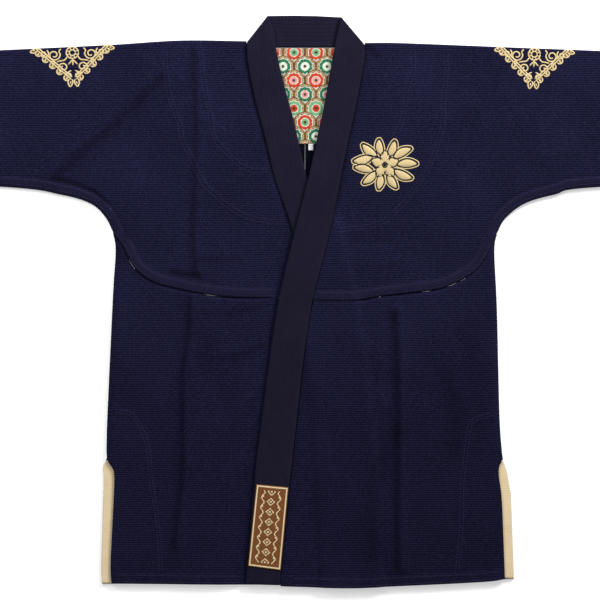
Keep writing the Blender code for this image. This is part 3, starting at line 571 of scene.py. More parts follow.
def pearl_weave():
    """Pearl-weave cotton, dyed navy: rows of small raised loops. The eye gets fine level ribs, broken into
    grains, with a few pale flecks of lint, matt all over. The ribs and loops are painted lighter on their
    crests and darker in their hollows, a painted shade that follows the bump. The attribute "shade" multiplies
    in painted shade along creases, towards the hem and the lower right, and inside the V, and "band" makes it
    plainer, as on a felled band."""
    material, tree, shader = new_material(
        "pearl_weave_cotton", Roughness=0.95, Specular_IOR_Level=0.02, Sheen_Weight=0.02, Sheen_Roughness=0.6)
    rib_pitch, loop_pitch = 3.4 * MM, 3.0 * MM
    place = put(tree, "TexCoord", {})["Object"]
    axes = put(tree, "SeparateXYZ", {0: place})
    shade = put(tree, "Attribute", {}, attribute_name="shade")["Fac"]
    band = put(tree, "Attribute", {}, attribute_name="band")["Fac"]
    wander = put(tree, "TexNoise", {"Vector": place, "Scale": 22.0, "Detail": 1.0})["Fac"]
    turns = put(tree, "Math", {0: axes["Y"], 1: 2 * np.pi / rib_pitch}, operation="MULTIPLY")["Value"]
    turns = put(tree, "Math", {0: wander, 1: 2.5, 2: turns}, operation="MULTIPLY_ADD")["Value"]
    rib = put(tree, "Math", {0: turns}, operation="SINE")["Value"]
    half = put(tree, "Math", {0: turns, 1: 0.5}, operation="MULTIPLY")["Value"]
    loops = put(tree, "Math", {0: axes["X"], 1: 2 * np.pi / loop_pitch, 2: half},
                operation="MULTIPLY_ADD")["Value"]
    loop = put(tree, "Math", {0: loops}, operation="SINE")["Value"]
    grain = put(tree, "TexNoise", {"Vector": place, "Scale": 330.0, "Detail": 2.0, "Roughness": 0.7})["Fac"]
    dye = put(tree, "TexNoise", {"Vector": place, "Scale": 9.0, "Detail": 3.0})["Fac"]
    plain = put(tree, "Math", {0: band, 1: -0.75, 2: 1.0}, operation="MULTIPLY_ADD")["Value"]
    ribs = put(tree, "Math", {0: rib, 1: plain}, operation="MULTIPLY")["Value"]
    height = put(tree, "Math", {0: ribs, 1: 0.5, 2: grain}, operation="MULTIPLY_ADD")["Value"]
    height = put(tree, "Math", {0: loop, 1: 0.2, 2: height}, operation="MULTIPLY_ADD")["Value"]
    # painted shade of the relief: ribs and loops lighter on their crests and darker in their hollows; the grain
    # and the dye clouds are the cloth's own uneven tone
    tone = put(tree, "Math", {0: ribs, 1: 0.4, 2: -1.0}, operation="MULTIPLY_ADD")["Value"]
    tone = put(tree, "Math", {0: loop, 1: 0.14, 2: tone}, operation="MULTIPLY_ADD")["Value"]
    tone = put(tree, "Math", {0: grain, 1: 2.3, 2: tone}, operation="MULTIPLY_ADD")["Value"]
    tone = put(tree, "Math", {0: dye, 1: 0.65, 2: tone}, operation="MULTIPLY_ADD", use_clamp=True)["Value"]
    navy = put(tree, "Mix", {"Factor": tone, 6: hexcolour(NAVY_DEEP), 7: hexcolour(NAVY_LIT)},
               data_type="RGBA")[2]
    banded = put(tree, "Math", {0: band, 1: 0.6}, operation="MULTIPLY")["Value"]
    navy = put(tree, "Mix", {"Factor": banded, 6: navy, 7: hexcolour(NAVY_BAND)}, data_type="RGBA")[2]
    lint = put(tree, "TexNoise", {"Vector": place, "Scale": 520.0, "Detail": 0.0})["Fac"]
    fleck = put(tree, "MapRange", {"Value": lint, "From Min": 0.74, "From Max": 0.86,
                                   "To Max": 0.22})["Result"]
    navy = put(tree, "Mix", {"Factor": fleck, 6: navy, 7: hexcolour(LINT)}, data_type="RGBA")[2]
    # multiplies in the painted shade that the attribute "shade" holds
    shaded = put(tree, "Mix", {"Factor": 1.0, 6: navy, 7: shade}, data_type="RGBA", blend_type="MULTIPLY")[2]
    tree.links.new(shaded, shader.inputs["Base Color"])
    bump = put(tree, "Bump", {"Height": height, "Strength": 0.55, "Distance": 0.5 * MM})["Normal"]
    tree.links.new(bump, shader.inputs["Normal"])
    return material


def lapel_drill():
    """Cotton drill over a firm core, dyed navy: a fine diagonal twill, too close to show one by one and drawn
    1.6 mm apart. The eye gets a smoother, browner face than the body's, streaked along its length."""
    material, tree, shader = new_material(
        "lapel_cotton_drill", Roughness=0.9, Specular_IOR_Level=0.03, Sheen_Weight=0.02, Sheen_Roughness=0.6)
    place = put(tree, "TexCoord", {})["Object"]
    axes = put(tree, "SeparateXYZ", {0: place})
    slant = put(tree, "Math", {0: axes["X"], 1: axes["Y"]}, operation="ADD")["Value"]
    turns = put(tree, "Math", {0: slant, 1: 2 * np.pi / (1.6 * MM)}, operation="MULTIPLY")["Value"]
    twill = put(tree, "Math", {0: turns}, operation="SINE")["Value"]
    streaky = put(tree, "Mapping", {"Vector": place, "Scale": (150.0, 60.0, 150.0)})["Vector"]
    streak = put(tree, "TexNoise", {"Vector": streaky, "Scale": 1.0, "Detail": 2.0})["Fac"]
    cloud = put(tree, "TexNoise", {"Vector": place, "Scale": 14.0, "Detail": 2.0})["Fac"]
    tone = put(tree, "Math", {0: streak, 1: 0.6, 2: -0.2}, operation="MULTIPLY_ADD")["Value"]
    tone = put(tree, "Math", {0: cloud, 1: 0.8, 2: tone}, operation="MULTIPLY_ADD", use_clamp=True)["Value"]
    navy = put(tree, "Mix", {"Factor": tone, 6: hexcolour(DRILL_DEEP), 7: hexcolour(DRILL_LIT)},
               data_type="RGBA")[2]
    tree.links.new(navy, shader.inputs["Base Color"])
    height = put(tree, "Math", {0: twill, 1: 0.3, 2: streak}, operation="MULTIPLY_ADD")["Value"]
    bump = put(tree, "Bump", {"Height": height, "Strength": 0.4, "Distance": 0.25 * MM})["Normal"]
    tree.links.new(bump, shader.inputs["Normal"])
    return material


def cotton_tape():
    """Herringbone cotton tape, undyed: cross ribs 2.6 mm apart. The eye gets warm cream, a little uneven."""
    material, tree, shader = new_material("cream_cotton_tape", Roughness=0.85, Specular_IOR_Level=0.2)
    place = put(tree, "TexCoord", {})["Object"]
    axes = put(tree, "SeparateXYZ", {0: place})
    turns = put(tree, "Math", {0: axes["Y"], 1: 2 * np.pi / (2.6 * MM)}, operation="MULTIPLY")["Value"]
    rib = put(tree, "Math", {0: turns}, operation="SINE")["Value"]
    cloud = put(tree, "TexNoise", {"Vector": place, "Scale": 60.0, "Detail": 3.0})["Fac"]
    tone = put(tree, "Math", {0: rib, 1: 0.05, 2: cloud}, operation="MULTIPLY_ADD", use_clamp=True)["Value"]
    cream = put(tree, "Mix", {"Factor": tone, 6: hexcolour(CREAM_DEEP), 7: hexcolour(CREAM_LIT)},
                data_type="RGBA")[2]
    tree.links.new(cream, shader.inputs["Base Color"])
    bump = put(tree, "Bump", {"Height": rib, "Strength": 0.2, "Distance": 0.15 * MM})["Normal"]
    tree.links.new(bump, shader.inputs["Normal"])
    return material


def dyed_cloth(name, attribute, thread, roughness, strength):
    """Cloth that takes its colour from an attribute of its mesh, with a plain weave of this thread spacing,
    coarser than the real one's so that it shows. The eye gets flat colour over a fine square grain."""
    material, tree, shader = new_material(name, Roughness=roughness, Specular_IOR_Level=0.2)
    place = put(tree, "TexCoord", {})["Object"]
    axes = put(tree, "SeparateXYZ", {0: place})
    colour = put(tree, "Attribute", {}, attribute_name=attribute)["Color"]
    across = put(tree, "Math", {0: axes["X"], 1: 2 * np.pi / thread}, operation="MULTIPLY")["Value"]
    along_y = put(tree, "Math", {0: axes["Y"], 1: 2 * np.pi / thread}, operation="MULTIPLY")["Value"]
    warp = put(tree, "Math", {0: across}, operation="SINE")["Value"]
    weft = put(tree, "Math", {0: along_y}, operation="SINE")["Value"]
    weave = put(tree, "Math", {0: warp, 1: weft}, operation="MULTIPLY")["Value"]
    cloud = put(tree, "TexNoise", {"Vector": place, "Scale": 240.0, "Detail": 2.0})["Fac"]
    tone = put(tree, "Math", {0: weave, 1: 0.08, 2: 0.82}, operation="MULTIPLY_ADD")["Value"]
    tone = put(tree, "Math", {0: cloud, 1: 0.3, 2: tone}, operation="MULTIPLY_ADD")["Value"]
    darkened = put(tree, "Mix", {"Factor": 1.0, 6: colour, 7: tone}, data_type="RGBA", blend_type="MULTIPLY")[2]
    tree.links.new(darkened, shader.inputs["Base Color"])
    bump = put(tree, "Bump", {"Height": weave, "Strength": strength, "Distance": 0.15 * MM})["Normal"]
    tree.links.new(bump, shader.inputs["Normal"])
    return material


def thread(name, deep, lit, roughness, sheen):
    """Spun thread, laid close: strands about 1 mm apart. The eye gets a soft gloss that breaks up on them."""
    material, tree, shader = new_material(
        name, Roughness=roughness, Specular_IOR_Level=0.25, Sheen_Weight=sheen)
    place = put(tree, "TexCoord", {})["Object"]
    strands = put(tree, "TexNoise", {"Vector": place, "Scale": 900.0, "Detail": 1.0})["Fac"]
    colour = put(tree, "Mix", {"Factor": strands, 6: hexcolour(deep), 7: hexcolour(lit)}, data_type="RGBA")[2]
    tree.links.new(colour, shader.inputs["Base Color"])
    bump = put(tree, "Bump", {"Height": strands, "Strength": 0.4, "Distance": 0.2 * MM})["Normal"]
    tree.links.new(bump, shader.inputs["Normal"])
    return material


def make(name, verts, faces, material, nodes=()):
    """A smooth mesh in metres from points in millimetres, on the jacket, in place of the named nodes."""
    mesh = bpy.data.meshes.new(name)
    mesh.from_pydata(metres(verts).reshape(-1, 3).tolist(), [], faces)
    mesh.shade_smooth()
    mesh.materials.append(material)
    piece = bpy.data.objects.new(name, mesh)
    bpy.context.scene.collection.objects.link(piece)
    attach(piece, "root")
    if nodes:
        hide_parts(*nodes)
    return piece


def net_faces(columns, rows):
    """The quads of a net, from its numbers of columns and rows."""
    index = np.arange(columns * rows).reshape(columns, rows)
    return np.stack([index[:-1, :-1], index[1:, :-1], index[1:, 1:], index[:-1, 1:]], -1).reshape(-1, 4)


def paint(piece, name, values):
    """Keeps a number or a colour for each vertex of a piece, for its material."""
    kind = "FLOAT" if values.ndim == 1 else "FLOAT_COLOR"
    layer = piece.data.attributes.new(name, kind, "POINT")
    layer.data.foreach_set("value" if values.ndim == 1 else "color", values.astype(np.float32).ravel())


def cloth(name, points, wall, material, nodes, shade=None, band=None):
    """A net (column, row, xyz) of the outer face, with its wall inside it."""
    piece = make(name, points, net_faces(*points.shape[:2]).tolist(), material, nodes)
    if shade is not None:
        paint(piece, "shade", shade.ravel())
        paint(piece, "band", band.ravel())
    solid = piece.modifiers.new("Wall", "SOLIDIFY")
    solid.thickness = wall * MM
    solid.offset = -1.0
    return piece


def painted_shade(x, y):
    """Painted shade: 10% darker towards the hem and as much again to the lower right, standing in for the
    light's falloff, and darker along the creases where the folds shade the cloth, each a bell curve of the
    distance from its path."""
    low, lower_right = ease((100 - y) / 450), ease((x + 60) / 300) * ease((40 - y) / 200)
    # painted shade: the light falls off towards the hem and the lower right
    darkened = 1.0 - 0.1 * low - 0.1 * lower_right
    # painted shade along the creases
    for crease in CREASE_SHADES:
        darkened = darkened * (1 - crease.dark * np.exp(-((far_from(crease.path, x, y) / crease.reach) ** 2)))
    return darkened


def behind(x, y, lines):
    """How far the back's underside is above the surface: its creases, fading out towards these edge lines."""
    inwards = np.min([far_from(line, x, y) for line in lines], axis=0)
    return bells(x, y, BACK_CREASES) * ease((inwards - 6) / 24)


def upper(name, side):
    """Front, sleeve and back half in one: rows run from the front's foot over the ridge to the back's foot.
    side is -1 for the left upper and 1 for the right one, and columns run from the cuff to the middle."""
    e = EDGES[side]
    ridge_far = along(e.ridge)
    turn = np.interp(RIDGE_TURN, np.abs(e.ridge[::-1, 0]), (ridge_far / ridge_far[-1])[::-1])
    arm, chest = along(e.underarm)[-1], along(e.seam)[-1]
    arm_columns = (places(arm, CUFF_COLUMNS) / arm)[:-1]
    body_columns = places(chest, [chest - far for far in LAPEL_COLUMNS]) / chest
    feet = np.vstack([at(e.underarm, arm_columns), at(e.seam, body_columns)])
    tops = at(e.ridge, np.concatenate([arm_columns * turn, turn + (1 - turn) * body_columns]))
    v = row_shares(feet, tops, UPPER_FOOT_ROWS, UPPER_ROWS, UPPER_TOP_ROWS)
    front = patch(feet, tops, e.cuff, e.lapel, v)
    x, y = front[..., 0], front[..., 1]
    z = upper_face(x, y, side)
    below = on_body(y)
    band = np.maximum(below * (far_from(e.seam, x, y) < FELLED_WIDTH),
                      (1 - below) * (far_from(e.underarm, x, y) < UNDERARM_WIDTH))

    radius = z[:, -1] / 2
    up = tops - front[:, -2]
    up /= np.linalg.norm(up, axis=1)[:, None]
    turn_by = np.radians(np.linspace(0, 180, RIDGE_STEPS)[1:])
    bend = tops[:, None] - up[:, None] * (radius[:, None] * (1 - np.sin(turn_by)))[..., None]
    bend_z = radius[:, None] * (1 + np.cos(turn_by))
    front[:, -1] = tops - up * radius[:, None]

    middle = line_of([Point(side * p.x, p.y) for p in BACK_SEAM])
    back_feet = np.vstack([at(e.underarm, arm_columns), at(middle, body_columns)])
    neck = NECKLINE[:2] if side < 0 else NECKLINE[:1:-1]
    spine = np.array([(side * SEWN, BACK_SEAM[-1].y), (side * SEWN, neck[1].y - 2 * GAP),
                      (neck[1].x, neck[1].y - 2 * GAP), tuple(tops[-1])])
    down = (along(spine) / along(spine)[-1])[1:3]
    rows = np.concatenate([np.linspace(down[1], down[0], 6)[:-1], np.linspace(down[0], 0, 20)])
    rows = rows[None].repeat(len(feet), 0)
    back = patch(back_feet, tops, e.cuff, spine, rows)
    back_z = behind(back[..., 0], back[..., 1], (e.ridge, e.underarm, middle, e.cuff, spine))
    points = np.concatenate([np.dstack([front, z]), np.dstack([bend, bend_z]), np.dstack([back, back_z])], 1)
    # painted shade: darker towards the hem and the lower right, and along the creases
    shade = painted_shade(points[..., 0], points[..., 1])
    # painted shade inside the V, where the lapels shade the back
    deep = (np.abs(back[..., 0]) < V_HALF) & (back[..., 1] > V_FOOT)
    shade[:, -rows.shape[1]:] *= np.where(deep, INSIDE_SHADE, 1.0)
    bands = np.zeros(points.shape[:2])
    bands[:, : band.shape[1]] = band
    if side > 0:
        points, shade, bands = points[::-1], shade[::-1], bands[::-1]
    return cloth(name, points, CLOTH, weave, [name.replace("_cloth", "")], shade, bands)


def front_skirt(name, side):
    """A front below the chest seam: rows run from the hem to the seam, and columns from the side inwards."""
    e = EDGES[side]
    chest = along(e.seam)[-1]
    columns = places(chest, [*SIDE_COLUMNS, *(chest - far for far in LAPEL_COLUMNS)]) / chest
    tops = at(e.seam, columns) + (side * SEAM_SPLAY, -GAP)
    feet = at(e.hem, columns)
    v = row_shares(feet, tops, SKIRT_FOOT_ROWS, SKIRT_ROWS, SKIRT_TOP_ROWS)
    net = patch(feet, tops, e.side, e.lapel_low, v)
    x, y = net[..., 0], net[..., 1]
    points = np.dstack([net, skirt_face(x, y, side)])
    band = (far_from(e.hem, x, y) < HEM_TURN - 1) * 0.5
    # painted shade: darker towards the hem and the lower right, and along the creases
    shade = painted_shade(x, y)
    if side > 0:
        points, shade, band = points[::-1], shade[::-1], band[::-1]
    return cloth(name, points, CLOTH, weave, [name.replace("_cloth", "")], shade, band)


def back_skirt():
    """The back below its seam, one piece from side to side, flat on the surface."""
    half = line_of(BACK_SEAM)
    share = np.linspace(0, 1, 60)
    left = at(half, share) * (-1, 1) + (-SEAM_SPLAY, -GAP)
    right = at(half, share) + (SEAM_SPLAY, -GAP)
    seam = np.vstack([left, right[-2::-1]])
    feet = at(line_of(HEM_BACK), along(seam) / along(seam)[-1])
    rows = np.linspace(0, 1, 90)[None].repeat(len(seam), 0)
    net = patch(feet, seam, line_of(BACK_SIDE_LEFT), line_of(BACK_SIDE_RIGHT), rows)
    lines = (line_of(BACK_SIDE_LEFT), line_of(BACK_SIDE_RIGHT), seam, line_of(HEM_BACK))
    points = np.dstack([net, BACK_TOP + behind(net[..., 0], net[..., 1], lines)])
    # painted shade: darker towards the hem and the lower right, and along the creases
    return cloth("skirt_back_cloth", points, CLOTH, weave, ["skirt_back"],
                 painted_shade(net[..., 0], net[..., 1]), np.zeros(rows.shape))


def quilt(width):
    """The places across a band, from its seam edge, and how high its top face is there as a share of its
    thickness: round edges, and a groove under each row of stitching."""
    inside = np.arange(EDGE_ROUND, width - EDGE_ROUND, 1.0)
    rim = EDGE_ROUND * np.array([0.0, 0.06, 0.25, 0.55])
    across = np.concatenate([rim, inside, width - rim[::-1]])
    near = 1 - np.clip(np.minimum(across, width - across) / EDGE_ROUND, 0, 1)
    rows = quilt_rows(width)
    groove = np.exp(-(((across[:, None] - rows[None]) / QUILT_WIDTH) ** 2)).sum(1)
    return across, 0.5 + 0.5 * np.sqrt(1 - near**2) - QUILT_DEPTH * groove


def quilt_rows(width):
    """Where the rows of stitching are, from the seam edge."""
    return np.linspace(LAPEL_ROW_INSET, width - LAPEL_ROW_INSET, LAPEL_ROWS)


def band_mesh(name, seam, free, base, material, slot, nodes):
    """A closed band between its seam edge and its free edge: rings with a quilted top and a flat bottom,
    and both ends rounded over."""
    width = np.linalg.norm(free - seam, axis=1).mean()
    across, up = quilt(width)
    under = across[[-2, -4, len(across) // 2, 3, 1]]
    t = np.concatenate([across, under]) / width
    rise = np.concatenate([up, [0.2, 0.0, 0.0, 0.0, 0.2]])
    flat = seam[:, None] + (free - seam)[:, None] * t[None, :, None]
    far = along((seam + free) / 2)
    end = 1 - np.clip(np.minimum(far, far[-1] - far) / EDGE_ROUND, 0, 1)
    full = np.sqrt(1 - 0.96 * end**2)[:, None]
    z = base[:, None] + BAND * (0.5 + (rise[None] - 0.5) * full)
    rings = np.dstack([flat, z])
    count, points = rings.shape[:2]
    one = np.arange(points)
    step = (np.arange(count - 1) * points)[:, None]
    a, b = one[None] + step, np.roll(one, -1)[None] + step
    sides = np.stack([a, a + points, b + points, b], -1).reshape(-1, 4)
    caps = [one.tolist(), (one + (count - 1) * points)[::-1].tolist()]
    if np.cross(seam[1] - seam[0], free[0] - seam[0]) < 0:
        sides, caps = sides[:, ::-1], [c[::-1] for c in caps]
    return make(name, rings, sides.tolist() + caps, material, nodes)


def lapel_lines(sections):
    """A lapel's seam edge, free edge and underside, at stations one step apart from the neck to the hem."""
    seam = line_of([(s.seam_x, s.seam_y) for s in sections])
    free = line_of([(s.free_x, s.free_y) for s in sections])
    total = along(seam)[-1]
    shares = places(total, (0.5, 1.2, 2.2, total - 2.2, total - 1.2, total - 0.5), LAPEL_STEP) / total
    knots = np.linspace(0, len(seam) - 1, len(sections)).round().astype(int)
    bases = np.interp(shares, along(seam)[knots] / total, [s.base for s in sections])
    order = np.interp(shares, along(seam) / total, np.arange(len(seam)))
    partner = np.stack([np.interp(order, np.arange(len(free)), free[:, k]) for k in (0, 1)], axis=-1)
    return at(seam, shares), partner, bases


def band_rows(seam, free, base, skip=4.0):
    """The rows of stitching on a band's top face, as paths in space."""
    width = np.linalg.norm(free - seam, axis=1).mean()
    far = along((seam + free) / 2)
    inside = (far > skip) & (far < far[-1] - skip)
    rows = quilt_rows(width) / width
    paths = [np.column_stack([s, b]) for s, b in ((seam[inside] + (free - seam)[inside] * r,
                                                   base[inside] + BAND * 0.9) for r in rows)]
    return paths


def neck_lines():
    """The neck band's two edges, from the left slanting fold to the right one."""
    place = np.linspace(0, len(NECKLINE) - 1, 46)
    low, high = np.array(NECKLINE), at(line_of(NECK_BAND_TOP), np.linspace(0, 1, len(NECKLINE)))
    return [np.stack([np.interp(place, np.arange(len(NECKLINE)), p[:, k]) for k in (0, 1)], -1)
            for p in (low, high)] + [np.zeros(len(place))]


def stitches(name, paths, material, length=3.0, pitch=4.2, thick=0.8):
    """A row of stitches along each path: each is a spindle of three rings of four points, its ends sunk."""
    along_it = np.array([-0.5, 0.0, 0.5])
    wide, high = np.array([0.35, 1.0, 0.35]), np.array([0.15, 1.0, 0.15])
    ring_x, ring_z = np.array([-1.0, 0.0, 1.0, 0.0]) * thick / 2, np.array([0.0, 0.5, 0.0, -0.5]) * thick
    verts = []
    for path in paths:
        far = np.concatenate([[0.0], np.cumsum(np.linalg.norm(np.diff(path, axis=0), axis=1))])
        middles = np.arange(pitch / 2, far[-1] - pitch / 2, pitch)
        where = middles[:, None] + along_it[None] * length
        p = np.stack([np.interp(where, far, path[:, k]) for k in range(3)], -1)
        run = p[:, -1, :2] - p[:, 0, :2]
        run /= np.linalg.norm(run, axis=1)[:, None] + 1e-9
        left = np.stack([-run[:, 1], run[:, 0]], -1)[:, None, None]
        ring = p[:, :, None].repeat(4, 2)
        ring[..., :2] += left * (ring_x[None, None] * wide[None, :, None])[..., None]
        ring[..., 2] += ring_z[None, None] * high[None, :, None] + 0.1
        verts.append(ring.reshape(-1, 3))
    verts = np.concatenate(verts)
    one = np.arange(4)
    a = np.stack([one, one + 4, np.roll(one, -1) + 4, np.roll(one, -1)], -1)
    faces = np.concatenate([a, a + 4, [[0, 1, 2, 3]], [[11, 10, 9, 8]]])[:, ::-1]
    count = len(verts) // 12
    faces = (faces[None] + (np.arange(count) * 12)[:, None, None]).reshape(-1, 4)
    return make(name, verts, faces.tolist(), material)


def strokes(name, paths, widths, face, material, rise=0.7):
    """Embroidered lines: along each path, rings of five points, flat below and round above, narrowed at the
    ends. face gives the height of the cloth below."""
    verts, faces, start = [], [], 0
    across = np.array([-1.0, -0.62, 0.0, 0.62, 1.0])
    up = np.array([-0.15, 0.75, 1.0, 0.75, -0.15])
    for path, width in zip(paths, widths):
        far = along(path)
        count = max(4, int(far[-1] / 1.3))
        p = at(path, np.linspace(0, 1, count))
        run = np.gradient(p, axis=0)
        run /= np.linalg.norm(run, axis=1)[:, None] + 1e-9
        side = np.stack([-run[:, 1], run[:, 0]], -1)
        share = np.linspace(0, 1, count)
        slim = np.clip(np.minimum(share, 1 - share) * far[-1] / (width * 0.8), 0.25, 1) ** 0.5
        flat = p[:, None] - side[:, None] * (across[None] * width / 2 * slim[:, None])[..., None]
        z = face(p[:, 0], p[:, 1])[:, None] + rise * up[None] * slim[:, None]
        ring = np.dstack([flat, z])
        index = np.arange(count * 5).reshape(count, 5)
        nxt = np.roll(index, -1, axis=1)
        quads = np.stack([index[:-1], index[1:], nxt[1:], nxt[:-1]], -1).reshape(-1, 4)
        faces += (quads + start).tolist() + [index[0].tolist(), index[-1, ::-1].tolist()]
        faces[-2] = [f + start for f in faces[-2]]
        faces[-1] = [f + start for f in faces[-1]]
        verts.append(ring.reshape(-1, 3))
        start += count * 5
    return make(name, np.concatenate(verts), faces, material)


def leaves(name, places_of, face, material, rise=0.9):
    """Satin-stitched leaves: each is a net between two pointed arcs, domed across, from (x, y, length, width,
    heading in degrees, how far its spine bows)."""
    u = np.linspace(0, 1, 15)[:, None]
    v = np.linspace(-1, 1, 7)[None]
    verts, faces, start = [], [], 0
    for x0, y0, length, width, heading, bow in places_of:
        a = np.radians(heading)
        s = (u - 0.5) * length + 0 * v
        t = width / 2 * np.sin(np.pi * u) ** 0.75 * v + bow * np.sin(np.pi * u)
        x, y = x0 + s * np.cos(a) - t * np.sin(a), y0 + s * np.sin(a) + t * np.cos(a)
        z = face(x, y) - 0.1 + rise * np.sin(np.pi * u) ** 0.5 * (1 - v**2) ** 0.5
        verts.append(np.dstack([x, y, z]).reshape(-1, 3))
        faces += (net_faces(15, 7) + start).tolist()
        start += 105
    return make(name, np.concatenate(verts), faces, material)


def arc(cx, cy, radius, first, last, end_radius=None):
    """Points on a part of a circle, or of a spiral that comes to another radius. Angles are in degrees."""
    a = np.radians(np.linspace(first, last, 28))
    r = np.linspace(radius, radius if end_radius is None else end_radius, 28)
    return np.stack([cx + r * np.cos(a), cy + r * np.sin(a)], -1)


# the ends of the weave's tone: its darker hollows and lighter crests are painted shade, the rest is the dye's
# own unevenness
NAVY_DEEP, NAVY_LIT, NAVY_BAND = "#0C0C1E", "#201F3D", "#1C1A30"
DRILL_DEEP, DRILL_LIT = "#151322", "#1F1C2E"
CREAM_DEEP, CREAM_LIT = "#DCC69C", "#F0DBB4"
LINT = "#4A4668"

weave, drill, tape_cloth = pearl_weave(), lapel_drill(), cotton_tape()
printed = dyed_cloth("printed_satin_lining", "print", 0.9 * MM, 0.6, 0.2)
woven = dyed_cloth("damask_woven_label", "woven", 1.2 * MM, 0.6, 0.5)
white = dyed_cloth("white_polyester_tab", "woven", 0.9 * MM, 0.5, 0.3)
gold = thread("gold_embroidery_thread", "#B79B62", "#E9D6A6", 0.5, 0.1)
dark_thread = thread("dark_outline_thread", "#0C0B18", "#1A1828", 0.7, 0.0)
navy_thread = thread("navy_sewing_thread", "#1E1C38", "#3B3862", 0.7, 0.0)
drill_thread = thread("navy_lapel_thread", "#191729", "#262338", 0.8, 0.0)

uppers = {side: upper(f"upper_{word}_cloth", side) for side, word in WORDS.items()}
skirts = {side: front_skirt(f"skirt_front_{word}_cloth", side) for side, word in WORDS.items()}
skirt_behind = back_skirt()

under_lines, top_lines, neck = lapel_lines(LAPEL_UNDER), lapel_lines(LAPEL_TOP), neck_lines()
lapel_below = band_mesh("lapel_under_quilted", *under_lines, drill, "lapel_drill", ["lapel_under"])
lapel_above = band_mesh("lapel_top_quilted", *top_lines, drill, "lapel_drill", ["lapel_top"])
collar = band_mesh("neck_band_quilted", *neck, drill, "lapel_drill", ["neck_band"])


Ring = namedtuple("Ring", "reach ink petals")  # reach is a share of the rosette's radius


def lining():
    """The printed lining: rows of rosettes, each row half a rosette along from the one above it. A point
    takes the colour of the smallest ring that it is in, by its distance from the nearest rosette's middle.
    Some rings have a petalled rim, and pale beads run round each rosette."""
    v = np.linspace(0, 1, 150)
    half = LINING_HALF_FOOT + (LINING_HALF_TOP - LINING_HALF_FOOT) * v**LINING_NARROWS
    half = np.where(v > 0.96, np.minimum(half, LINING_HALF_NECK + (1 - v) * LINING_SPREAD), half)
    u = np.linspace(-1, 1, 110)
    x = u[:, None] * half[None] + 1.0
    y = LINING_FOOT + (LINING_TOP - LINING_GAP - LINING_FOOT) * v[None].repeat(len(u), 0)
    ink = {name: np.array(hexcolour(code)) for name, code in (
        ("ochre", "#8E6220"), ("red", "#C23A16"), ("green", "#1F6E4A"), ("white", "#DDE3D4"),
        ("pink", "#DB9794"), ("leaf", "#6FA878"), ("brown", "#4A2E14"))}
    colour = np.zeros(x.shape + (4,)) + ink["ochre"]
    wide, high, petals, rim, beads, bead = 33.0, 21.0, 10, 0.85, 16, 0.9
    mains, cores = ("red", "green", "red", "leaf", "green"), ("pink", "white", "leaf", "red", "pink")
    for row in range(9, -1, -1):
        middle_y = LINING_FOOT - 10 + row * high
        off = (x - (row % 2) * wide / 2 + wide / 2) % wide - wide / 2
        angle = np.arctan2(y - middle_y, off)
        r = np.hypot(off, y - middle_y) / (wide / 2)
        petal = r * (1 + 0.05 * np.cos(petals * angle))
        for ring in (Ring(1.0, "brown", False), Ring(0.95, "ochre", False), Ring(0.74, "white", True),
                     Ring(0.67, mains[row % 5], True), Ring(0.4, "white", False),
                     Ring(0.34, cores[row % 5], True), Ring(0.14, "brown", False)):
            colour[(petal if ring.petals else r) < ring.reach] = ink[ring.ink]
        round_it = ((angle * beads / np.pi) % 1 - 0.5) * 2.6
        colour[np.hypot(round_it, (r - rim) * wide / 2) < bead] = 0.5 * (ink["ochre"] + ink["white"])
    piece = cloth("neck_lining_print", np.dstack([x, y, np.full(x.shape, BACK_TOP + GAP + LINING)]), LINING,
                  printed, ["neck_lining"])
    paint(piece, "print", colour.reshape(-1, 4))
    return piece


def tape(name, outer, side):
    """Ribbed tape on the back skirt's vent edge, from the hem up to the top of the vent."""
    edge = line_of(outer)
    line = at(edge[edge[:, 1] < TAPE_TOP_Y], np.linspace(0, 1, 60)) - (side * 0.2, 0)
    share = np.array([0, 0.03, 0.1, 0.2, 0.4, 0.6, 0.8, 0.9, 0.97, 1.0])[:, None, None]
    net = line[None] - np.array([side * (TAPE_SHOWS + TAPE_TUCK), 0.0]) * share
    z = BACK_TOP + GAP + TAPE + 0.0 * net[..., 0]
    points = np.dstack([net, z])
    return cloth(name, points if side < 0 else points[::-1], TAPE, tape_cloth,
                 [name.replace("_cotton", "")])


def label():
    """The woven label on the lapel's end: a cream border inside a brown edge, and a chain of lozenges between
    two waved lines. Colour is worked out from the distance to the edges and along the middle."""
    a, b, c, d = (np.array(p) for p in LABEL_CORNERS)
    width, length = np.linalg.norm(b - a), np.linalg.norm(d - a)
    u, v = np.meshgrid(np.linspace(0, 1, 100), np.linspace(0, 1, 240), indexing="ij")
    net = (1 - u)[..., None] * ((1 - v)[..., None] * a + v[..., None] * d) + u[..., None] * (
        (1 - v)[..., None] * b + v[..., None] * c)
    s, t = u * width, v * length
    edge = np.minimum(np.minimum(s, width - s), np.minimum(t, length - t))
    brown, cream = np.array(hexcolour("#7A4A26")), np.array(hexcolour("#EBD7A8"))
    mid, pitch, wave_out, swing, line, dot = s - width / 2, 15.0, 12.5, 2.2, 0.8, 1.3
    border_out, border_in, field = 1.2, 3.4, 7.5
    along_t = (t - length / 2) % pitch - pitch / 2
    lozenge = np.abs(mid) / 6.5 + np.abs(along_t) / 6.0
    chain = ((lozenge < 1.0) & (lozenge > 0.72)) | (lozenge < 0.3)
    wave = np.abs(np.abs(mid) - wave_out - swing * np.cos(2 * np.pi * t / pitch)) < line
    dots = np.hypot(np.abs(mid) - wave_out, (t - length / 2 + pitch / 2) % pitch - pitch / 2) < dot
    mark = ((edge > border_out) & (edge < border_in)) | ((edge > field) & (chain | wave | dots))
    colour = np.where(mark[..., None], cream, brown)
    top = LAPEL_TOP[-1].base + BAND + GAP + LABEL
    z = top + 0.25 * mark - 0.3 * np.clip(1 - edge / 1.0, 0, 1)
    piece = cloth("lapel_label_woven", np.dstack([net, z]), LABEL, woven, ["lapel_label"])
    paint(piece, "woven", colour.reshape(-1, 4))
    return piece


